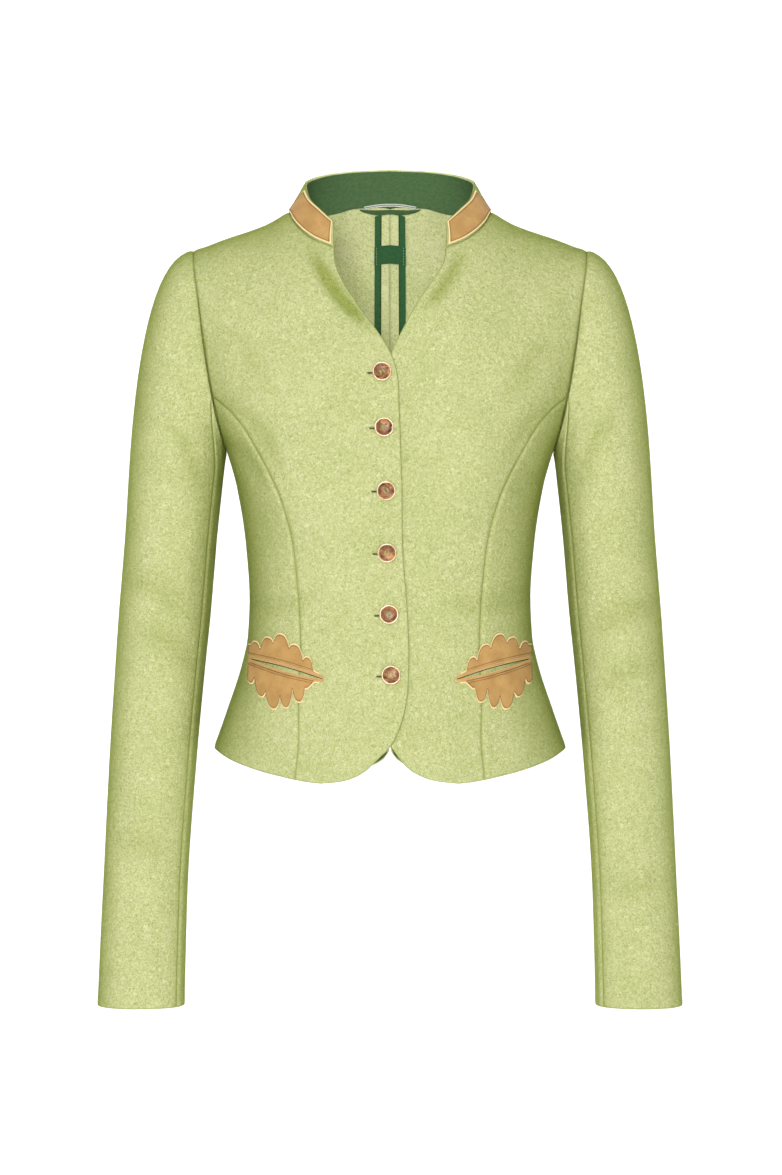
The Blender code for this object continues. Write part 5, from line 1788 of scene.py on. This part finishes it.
@dataclass
class BackTrims:
    """The green crescent, loop, pressed seam edges, bindings, label and vent facings inside the back."""

    reach: float = 0.0287
    crescent_depth: float = 0.0060
    loop_reach: float = 0.0255
    loop_low: float = 0.0108
    loop_peak: float = 0.0140
    loop_width: float = 0.0026
    allowance_width: float = 0.0140
    binding_inner: float = 0.0083
    binding_outer: float = 0.0148
    top: float = -0.0652
    binding_top: float = -0.0642
    bottom: float = -0.4280
    label_reach: float = 0.0152
    label_top: float = -0.0828
    label_bottom: float = -0.0940
    facing_top: float = -0.4400
    facing_width: float = 0.0200
    facing_inset: float = 0.0016
    stitch_inset: float = 0.0010
    label_inset: float = 0.0020
    crescent_gap: float = 0.0005

    def inside(self, spots: np.ndarray, depth: float) -> np.ndarray:
        """Points this far in from the back's outer surface."""
        flat = spots.reshape(-1, 2)
        points = []
        for spot in flat:
            near = np.array((max(abs(spot[0]), 1e-4) * (1 if spot[0] >= 0 else -1), spot[1]))
            points.append(FORM.back(near) - FORM.normal(FORM.back, near, -1) * depth)
        return np.array(points).reshape(*spots.shape[:2], 3)

    def strip(self, inner_x: float, outer_x: float, low: float, high: float, rows: int) -> np.ndarray:
        """Spots of an upright strip."""
        runs = FORM.run_of(low) + (FORM.run_of(high) - FORM.run_of(low)) * np.array(stations(rows, 0.4))
        across = inner_x + (outer_x - inner_x) * np.array(stations(4, abs(outer_x - inner_x) * 2.4))
        return np.array([[(x, run) for x in across] for run in runs])

    def build(self, finishes: Wardrobe, stitches: StitchTree) -> None:
        """Build the trims.

        Args:
            finishes: The jacket's finishes.
            stitches: The stitch maker.
        """
        binding_depth = 2 * WOOL + 0.0012
        allowance_depth = WOOL + 0.0008
        lines = []
        for side in Side:
            spots = self.strip(0.0002, self.allowance_width, self.bottom, self.top, 80)
            grid = self.inside(spots, allowance_depth)
            sheet = Sheet(f"wool_seam_edge_{side.word}", grid, WOOL, ALL_RAW, side, flip=True)
            sew(sheet, finishes.wool, "wool", f"seam_allowance_{side.word}")
            spots = self.strip(self.binding_inner, self.binding_outer, self.bottom, self.binding_top, 80)
            grid = self.inside(spots, binding_depth)
            sheet = green_sheet(f"green_binding_{side.word}", grid, side)
            node = f"seam_binding_{side.word}"
            sew(sheet, finishes.binding, "green_cloth", node)
            x = self.binding_inner + self.stitch_inset
            runs = np.linspace(FORM.run_of(self.bottom), FORM.run_of(self.top), 90)
            spots = np.array([[(x, run)] for run in runs])
            row = self.inside(spots, binding_depth + GREEN_CLOTH + STITCH_LIFT)
            lines.append(row[:, 0] * np.array((side.value, 1, 1)))
            self.vent_facing(side, finishes)
        stitches.sew("binding_stitches", lines, finishes.dark_thread, BINDING_STITCH, "green_cloth")
        self.crescent(finishes)
        self.loop(finishes)
        self.label(finishes, stitches, binding_depth + GREEN_CLOTH + 0.0004)

    def vent_facing(self, side: Side, finishes: Wardrobe) -> None:
        """Build the facing inside one rounded corner of the vent."""
        corner = FORM.hem_spot(VENT_CORNER_ANGLE)
        edge = smooth_curve([corner, *FORM.spots_of(VENT_EDGE)])
        edge = [spot for spot in edge if FORM.height_of(spot[1]) <= self.facing_top]
        edge = spaced(edge, FORM.back, stations(30, 0.07))
        rows = []
        for k, spot in enumerate(edge):
            along = edge[min(k + 1, len(edge) - 1)] - edge[max(k - 1, 0)]
            along /= np.linalg.norm(along)
            into = np.array((along[1], -along[0]))
            near = spot + into * self.facing_inset
            width = self.facing_width * (0.45 + 0.55 * smooth_step(7 * k / len(edge) / 3))
            rows.append([near + into * width * share for share in stations(6, 0.02)])
        grid = self.inside(np.array(rows), WOOL + 0.0003)
        sheet = green_sheet(f"green_vent_facing_{side.word}", grid, side)
        sew(sheet, finishes.green, "green_cloth", f"vent_facing_{side.word}")

    def crescent(self, finishes: Wardrobe) -> None:
        """Build the crescent inside the back neck."""
        rows = []
        middle = FORM.run_of(BACK_NECKLINE[0].height) - self.crescent_gap
        end = FORM.run_of(table_value(BACK_NECKLINE, "height", self.reach)) - self.crescent_gap
        for up in stations(6, 0.006):
            row = []
            for share in stations(24, 0.057):
                x = self.reach * (2 * share - 1)
                depth = self.crescent_depth * math.sqrt(max(1 - (x / self.reach) ** 2, 0.04))
                top = middle + (end - middle) * (x / self.reach) ** 2
                row.append((x, top - depth * (1 - up)))
            rows.append(row)
        grid = self.inside(np.array(rows), WOOL + 0.0003)
        sheet = green_sheet("green_neck_facing", grid)
        sew(sheet, finishes.green, "green_cloth", "neck_facing")

    def loop(self, finishes: Wardrobe) -> None:
        """Build the hanger loop, a flat ribbon in an arch."""
        depth = WOOL + 0.0004 + GREEN_CLOTH
        rows = []
        for share in stations(40, 0.052):
            x = self.loop_reach * (2 * share - 1)
            turn = x / self.loop_reach * math.pi / 2
            arch = self.loop_low + (self.loop_peak - self.loop_low) * math.cos(turn)
            spot = np.array((x, FORM.run_of(table_value(BACK_NECKLINE, "height", abs(x)))))
            edge = FORM.back(spot)
            away = np.array((x, edge[1] - SIDE_PLANE, 0))
            away /= np.linalg.norm(away)
            middle = edge - away * depth
            heights = [arch + self.loop_width * (up - 0.5) for up in stations(4, 0.0085)]
            rows.append([np.array((middle[0], middle[1], height)) for height in heights])
        grid = np.array(rows)
        name = "silver_hanger_loop"
        sheet = Sheet(name, grid, LOOP_CLOTH, ALL_FOLDED, round_radius=THIN_ROUND, groove=THIN_GROOVE)
        sew(sheet, finishes.ribbon, "loop_ribbon", "hanger_loop")

    def label(self, finishes: Wardrobe, stitches: StitchTree, depth: float) -> None:
        """Build the bare label and its end stitches."""
        spots = self.strip(-self.label_reach, self.label_reach, self.label_bottom, self.label_top, 10)
        grid = self.inside(spots, depth)
        name = "green_label_ribbon"
        sheet = Sheet(name, grid, LABEL_CLOTH, ALL_FOLDED, round_radius=0.0002, groove=THIN_GROOVE, flip=True)
        sew(sheet, finishes.label, "label_cloth", "label")
        lines = []
        low = FORM.run_of(self.label_bottom) + 0.001
        high = FORM.run_of(self.label_top) - 0.001
        for x in (-self.label_reach + self.label_inset, self.label_reach - self.label_inset):
            spots = np.array([[(x, run)] for run in np.linspace(low, high, 12)])
            lines.append(self.inside(spots, depth + LABEL_CLOTH + 0.0001)[:, 0])
        stitches.sew("label_stitches", lines, finishes.label_thread, LABEL_STITCH, "label_cloth")


@dataclass
class Pockets:
    """The leaf-shaped suede pockets."""

    outer: tuple[float, float] = (0.1246, -0.3998)
    inner: tuple[float, float] = (0.0573, -0.4171)
    opening: float = 0.0036
    closed: float = 0.0006
    welt_width: float = 0.0026
    leaf_start: float = -0.01
    leaf_end: float = 0.94
    spine: float = 0.0072
    tail: float = 0.0130
    lobe_fullness: float = 2.6
    tail_share: float = 0.16
    lift: float = 0.0005
    slit_inset: float = 0.0003
    slit_rise: float = 0.0004

    def slit(self, along: float, up: float) -> np.ndarray:
        """The spot at a share of the slit and a height above it."""
        x = self.outer[0] + (self.inner[0] - self.outer[0]) * along
        z = self.outer[1] + (self.inner[1] - self.outer[1]) * along
        return np.array((x, FORM.run_of(z + up)))

    def half_opening(self, along: float) -> float:
        """Half the mouth's opening."""
        return self.closed / 2 + self.opening / 2 * math.sin(math.pi * min(max(along, 0.0), 1.0))

    def reach(self, lobes: Sequence[Lobe], along: float) -> float:
        """How far the leaf's outline lies from the slit."""
        found = self.spine * math.sqrt(max(1 - (2 * along / self.leaf_end - 1) ** 4, 0.0))
        found = max(found, self.tail * min(max(self.leaf_end - along, 0.0) / self.tail_share, 1.0))
        for lobe in lobes:
            across = (along - lobe.centre) / lobe.half_width
            found = max(found, lobe.height * math.sqrt(max(1 - abs(across) ** self.lobe_fullness, 0.0)))
        return found

    def laid(self, spots: np.ndarray) -> np.ndarray:
        """The outer face of a patch laid on the front."""
        flat = spots.reshape(-1, 2)
        rise = self.lift + SUEDE
        points = [FORM.front(spot) + FORM.normal(FORM.front, spot) * rise for spot in flat]
        return np.array(points).reshape(*spots.shape[:2], 3)

    def build(self, finishes: Wardrobe, stitches: StitchTree) -> None:
        """Build both pockets.

        Args:
            finishes: The jacket's finishes.
            stitches: The stitch maker.
        """
        lines = []
        for side in Side:
            for half, lobes, sign in (("upper", UPPER_LOBES, 1), ("lower", LOWER_LOBES, -1)):
                lines += self.half(side, half, lobes, sign, finishes)
        stitches.sew("pocket_stitches", lines, finishes.brown_thread, POCKET_STITCH, "suede")
        # Painted shadow: a dark strip along each pocket's mouth, under the upper welt.
        slit_shadows = [self.slit_line(side) for side in Side]
        stitches.sew("pocket_slit_shadows", slit_shadows, finishes.slit_thread, POCKET_SLIT, "wool")
        # Painted shadow: a dark strip under each lower welt.
        welt_shadow_lines = [self.welt_foot(side) for side in Side]
        stitches.sew("pocket_welt_shadows", welt_shadow_lines, finishes.fold_thread, WELT_SHADOW, "suede")

    def dark_line(
        self, side: Side, reach: tuple[float, float], sign: int, extra: float, rise: float
    ) -> np.ndarray:
        """A dark strip of painted shadow along the slit.

        Args:
            side: The wearer's side.
            reach: The shares of the slit where it starts and ends.
            sign: 1 along the mouth's upper edge, -1 along its lower edge.
            extra: How far above that edge it runs.
            rise: How far off the front it lies.

        Returns:
            The line's points.
        """
        points = []
        for along in np.linspace(*reach, 70):
            spot = self.slit(along, sign * self.half_opening(along) + extra)
            points.append(FORM.front(spot) + FORM.normal(FORM.front, spot) * rise)
        return np.array(points) * np.array((side.value, 1, 1))

    def slit_line(self, side: Side) -> np.ndarray:
        """A dark strip of painted shadow where the pocket's mouth goes in, under the upper welt."""
        return self.dark_line(side, (0.03, 0.97), 1, -self.slit_inset, self.slit_rise)

    def welt_foot(self, side: Side) -> np.ndarray:
        """A dark strip of painted shadow under the lower welt, where it is turned onto the leaf."""
        return self.dark_line(side, (0.02, 0.86), -1, -self.welt_width, self.lift + SUEDE)

    def half(self, side: Side, half: str, lobes: Sequence[Lobe], sign: int, finishes: Wardrobe) -> Spots:
        """Build one welt and one half leaf.

        Args:
            side: The wearer's side.
            half: upper or lower.
            lobes: The leaf's lobes.
            sign: 1 above the slit, -1 below it.
            finishes: The jacket's finishes.

        Returns:
            The lines of the leaf's stitches.
        """
        rows = []
        for up in stations(3, 0.009):
            line = []
            for along in stations(60, 0.07):
                near = self.half_opening(along)
                line.append(self.slit(along, sign * (near + self.welt_width * up)))
            rows.append(line)
        grid = self.laid(np.array(rows)) + np.array((0, -0.0002, 0))
        flip = sign > 0
        name = f"suede_welt_{half}_{side.word}"
        welt = Sheet(name, grid, SUEDE, ALL_FOLDED, side, round_radius=0.0004, flip=flip)
        sew(welt, finishes.welt, "suede", f"pocket_welt_{half}_{side.word}")
        rows = []
        span = self.leaf_end - self.leaf_start
        for up in stations(10, 0.02):
            line = []
            for share in stations(110, 0.062):
                along = self.leaf_start + span * share
                near = self.half_opening(along) + self.welt_width + 0.0001
                reach = max(self.reach(lobes, along), near + 0.0015)
                line.append(self.slit(along, sign * (near + (reach - near) * up)))
            rows.append(line)
        grid = self.laid(np.array(rows))
        edges = (Edge.FOLD, Edge.RAW, Edge.RAW, Edge.RAW)
        name = f"suede_leaf_{half}_{side.word}"
        leaf = Sheet(name, grid, SUEDE, edges, side, round_radius=THIN_ROUND, groove=THIN_GROOVE, flip=flip)
        sew(leaf, finishes.suede, "suede", f"pocket_leaf_{half}_{side.word}")
        return frame_lines(leaf, TOPSTITCH_INSET)


@dataclass
class Buttons:
    """Six horn buttons in metal rims, with their thread and buttonholes."""

    places: tuple[Spot, ...] = (
        Spot(0.0070, -0.1670),
        Spot(0.0052, -0.2016),
        Spot(0.0035, -0.2521),
        Spot(0.0026, -0.3060),
        Spot(0.0009, -0.3602),
        Spot(-0.0009, -0.4135),
    )
    spins: tuple[float, ...] = (28, 4, 34, 6, 38, 12)
    hole_offset: float = 0.0016
    hole_radius: float = 0.0008
    drill_depth: float = 0.008
    sides: int = 48
    rim_radius: float = 0.0077
    rim_height: float = 0.0005
    rim_half_width: float = 0.0007
    rim_half_height: float = 0.0012
    rim_steps: int = 14
    thread_shift: float = 0.00022
    thread_bow: float = 0.0005
    thread_height: float = 0.0004
    eye: tuple[float, float] = (-0.0112, -0.0012)
    eye_size: tuple[float, float] = (0.0015, 0.0010)
    eye_open_end: float = -0.0070
    eye_half_height: float = 0.0009
    hole_depth: float = -0.0016
    slit_start: float = -0.0122
    slit_length: float = 0.0050
    slit_lift: float = 0.0004

    def lathe(self, profile: Sequence[tuple[float, float]]) -> tuple[list[Vector], Faces]:
        """A (radius, height) profile turned round Z, closed on the axis where it starts or ends there."""
        points: list[Vector] = []
        rings = []
        for radius, height in profile:
            if radius == 0:
                rings.append([len(points)] * self.sides)
                points.append(Vector((0, 0, height)))
                continue
            rings.append(list(range(len(points), len(points) + self.sides)))
            angles = [2 * math.pi * k / self.sides for k in range(self.sides)]
            points += [Vector((radius * math.cos(a), radius * math.sin(a), height)) for a in angles]
        faces = []
        for low, high in zip(rings, rings[1:]):
            for k in range(self.sides):
                corners = tuple(dict.fromkeys((low[k], low[k - 1], high[k - 1], high[k])))
                if len(corners) > 2:
                    faces.append(corners)
        return points, faces

    def matrix(self, number: int) -> Matrix:
        """The frame of a button, at its node's middle and facing out of the cloth."""
        low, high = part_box(f"button_{number}_horn")
        middle = (Vector(low) + Vector(high)) / 2
        spot = self.places[number - 1]
        place = np.array((spot.x, FORM.run_of(spot.height)))
        normal = FORM.normal(FORM.front, place)
        out = Vector((-normal[0], normal[1], normal[2]))
        turn = Vector((0, 0, 1)).rotation_difference(out)
        return Matrix.Translation(middle) @ turn.to_matrix().to_4x4()

    def build(self, finishes: Wardrobe, stitches: StitchTree) -> None:
        """Build the buttons.

        Args:
            finishes: The jacket's finishes.
            stitches: The stitch maker.
        """
        horn, horn_faces = self.lathe(HORN_PROFILE)
        rim, rim_faces = self.rim()
        threads = []
        holes = []
        for number, spin in enumerate(self.spins, start=1):
            matrix = self.matrix(number)
            turned = matrix @ Matrix.Rotation(math.radians(spin), 4, "Z")
            disc = self.place_mesh(f"horn_button_{number}", horn, horn_faces, turned, finishes.horn)
            self.drill(disc, turned)
            hand_over(disc, "horn", f"button_{number}_horn")
            band = self.place_mesh(f"metal_rim_{number}", rim, rim_faces, matrix, finishes.rim)
            hand_over(band, "rim_metal", f"button_{number}_rim")
            threads += self.strokes(turned)
            holes.append(self.buttonhole(matrix))
        loops = [line for line, _ in holes]
        slit_shadows = [slit for _, slit in holes]
        stitches.sew("button_threads", threads, finishes.pale_thread, BUTTON_THREAD, "horn")
        stitches.sew("buttonhole_stitches", loops, finishes.green_thread, HOLE_STITCH, "wool")
        # Painted shadow: a dark strip in each buttonhole's slit.
        stitches.sew("buttonhole_slit_shadows", slit_shadows, finishes.slit_thread, HOLE_SLIT, "wool")

    def rim(self) -> tuple[list[Vector], Faces]:
        """The metal rim round a button, as a closed ring."""
        angles = np.linspace(0, 2 * math.pi, self.rim_steps + 1)[:-1]
        ring = []
        for a in angles:
            radius = self.rim_radius + self.rim_half_width * math.cos(a)
            ring.append((radius, self.rim_height + self.rim_half_height * math.sin(a)))
        points, faces = self.lathe(ring)
        last = len(points) - self.sides
        for k in range(self.sides):
            before = (k - 1) % self.sides
            faces.append((last + k, last + before, before, k))
        return points, faces

    def place_mesh(
        self, name: str, points: list[Vector], faces: Faces, matrix: Matrix, material: Material
    ) -> Item:
        """A turned mesh at its place."""
        mesh = bpy.data.meshes.new(name)
        mesh.from_pydata([tuple(matrix @ point) for point in points], [], faces)
        item = finished_object(name, mesh, material)
        mesh.set_sharp_from_angle(angle=BUTTON_SHARP)
        return item

    def drill(self, disc: Item, matrix: Matrix) -> None:
        """Cut the four thread holes."""
        builder = bmesh.new()
        for x in (-1, 1):
            for y in (-1, 1):
                shift = Matrix.Translation((x * self.hole_offset, y * self.hole_offset, 0))
                bmesh.ops.create_cone(
                    builder,
                    cap_ends=True,
                    segments=16,
                    radius1=self.hole_radius,
                    radius2=self.hole_radius,
                    depth=self.drill_depth,
                    matrix=matrix @ shift,
                )
        mesh = bpy.data.meshes.new("thread_holes")
        builder.to_mesh(mesh)
        builder.free()
        cutter = bpy.data.objects.new("thread_holes", mesh)
        bpy.context.scene.collection.objects.link(cutter)
        cut = disc.modifiers.new("holes", "BOOLEAN")
        cut.operation = "DIFFERENCE"
        cut.solver = "EXACT"
        cut.object = cutter
        graph = bpy.context.evaluated_depsgraph_get()
        made = bpy.data.meshes.new_from_object(disc.evaluated_get(graph))
        disc.modifiers.clear()
        disc.data = made
        made.set_sharp_from_angle(angle=BUTTON_SHARP)
        bpy.data.objects.remove(cutter)

    def strokes(self, matrix: Matrix) -> list[np.ndarray]:
        """Two strokes of thread between the holes, each bowed up a little."""
        lines = []
        for x in (-1, 1):
            for shift in (-self.thread_shift, self.thread_shift):
                line = []
                for k in range(9):
                    t = k / 8
                    y = self.hole_offset * (2 * t - 1)
                    z = self.thread_height + self.thread_bow * math.sin(math.pi * t)
                    line.append(matrix @ Vector((x * self.hole_offset + shift, y, z)))
                lines.append(np.array(line))
        return lines

    def buttonhole(self, matrix: Matrix) -> tuple[np.ndarray, np.ndarray]:
        """The worked end of a buttonhole that shows beside the button, and a dark strip of painted shadow in
        its slit.
        """
        depth = self.hole_depth
        loop = [(self.eye_open_end, self.eye[1] + self.eye_half_height)]
        for angle in np.linspace(math.pi / 2, 3 * math.pi / 2, 17):
            across = self.eye[0] + self.eye_size[0] * math.cos(angle)
            loop.append((across, self.eye[1] + self.eye_size[1] * math.sin(angle)))
        loop.append((self.eye_open_end, self.eye[1] - self.eye_half_height))
        shares = [self.slit_start + self.slit_length * k / 8 for k in range(9)]
        slit = [matrix @ Vector((x, self.eye[1], depth + self.slit_lift)) for x in shares]
        return np.array([matrix @ Vector((x, y, depth)) for x, y in loop]), np.array(slit)


@dataclass
class Studio:
    """The pale sweep, the soft lights and the camera."""

    world_strength: float = 0.42
    floor_grey: float = 0.93
    floor_height: float = -1.1
    half_width: float = 8.0
    near_end: float = -6.0
    bend_start: float = 2.5
    bend_radius: float = 1.5
    wall_height: float = 6.0
    sensor: float = 36.0
    distance: float = 3.2
    image_height: int = 1175
    pixel: float = 0.0009
    middle: tuple[float, float] = (0.0009, -0.3366)

    def build(self) -> None:
        """Build the studio."""
        self.sweep()
        for lamp in LAMPS:
            self.light(lamp)
        scene = bpy.context.scene
        world = scene.world or bpy.data.worlds.new("studio")
        scene.world = world
        world.use_nodes = True
        background = world.node_tree.nodes["Background"]
        background.inputs["Color"].default_value = (1.0, 1.0, 1.0, 1.0)
        background.inputs["Strength"].default_value = self.world_strength
        scene.view_settings.view_transform = "Standard"
        camera = bpy.data.cameras.new("camera")
        camera.sensor_fit = "VERTICAL"
        camera.sensor_height = self.sensor
        camera.lens = self.sensor * self.distance / (self.image_height * self.pixel)
        item = bpy.data.objects.new("camera", camera)
        item.location = (self.middle[0], -self.distance, self.middle[1])
        item.rotation_euler = (math.pi / 2, 0, 0)
        scene.collection.objects.link(item)
        scene.camera = item

    def sweep(self) -> None:
        """A pale floor that curves up behind."""
        profile = [(self.near_end, 0.0), (self.bend_start, 0.0)]
        for angle in np.linspace(0, math.pi / 2, 16)[1:]:
            y = self.bend_start + self.bend_radius * math.sin(angle)
            profile.append((y, self.bend_radius - self.bend_radius * math.cos(angle)))
        profile.append((self.bend_start + self.bend_radius, self.wall_height))
        sides = (-self.half_width, self.half_width)
        points = [(x, y, z + self.floor_height) for y, z in profile for x in sides]
        faces = [(2 * k, 2 * k + 1, 2 * k + 3, 2 * k + 2) for k in range(len(profile) - 1)]
        mesh = bpy.data.meshes.new("studio_floor")
        mesh.from_pydata(points, [], faces)
        mesh.shade_smooth()
        item = bpy.data.objects.new("studio_floor", mesh)
        bpy.context.scene.collection.objects.link(item)
        material, g, shader = new_material("pale_floor")
        g.fill(shader, {"Base Color": (*(self.floor_grey,) * 3, 1.0), "Roughness": 0.9})
        mesh.materials.append(material)

    def light(self, lamp: Lamp) -> None:
        """Hang a lamp."""
        data = bpy.data.lights.new(lamp.name, "AREA")
        data.energy = lamp.power
        data.size = lamp.size
        item = bpy.data.objects.new(lamp.name, data)
        item.location = lamp.place
        aim = Vector(lamp.target) - Vector(lamp.place)
        item.rotation_euler = aim.to_track_quat("-Z", "Y").to_euler()
        bpy.context.scene.collection.objects.link(item)


def main() -> None:
    """Build the jacket and its studio in order."""
    logging.basicConfig(level=logging.INFO, format="%(message)s")
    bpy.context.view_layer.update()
    finishes = Wardrobe.make()
    stitches = StitchTree()
    Body().build(finishes)
    Sleeves().build(finishes)
    Collar().build(finishes, stitches)
    BackTrims().build(finishes, stitches)
    Pockets().build(finishes, stitches)
    Buttons().build(finishes, stitches)
    Studio().build()
    bpy.context.view_layer.update()


if __name__ == "__main__":
    main()
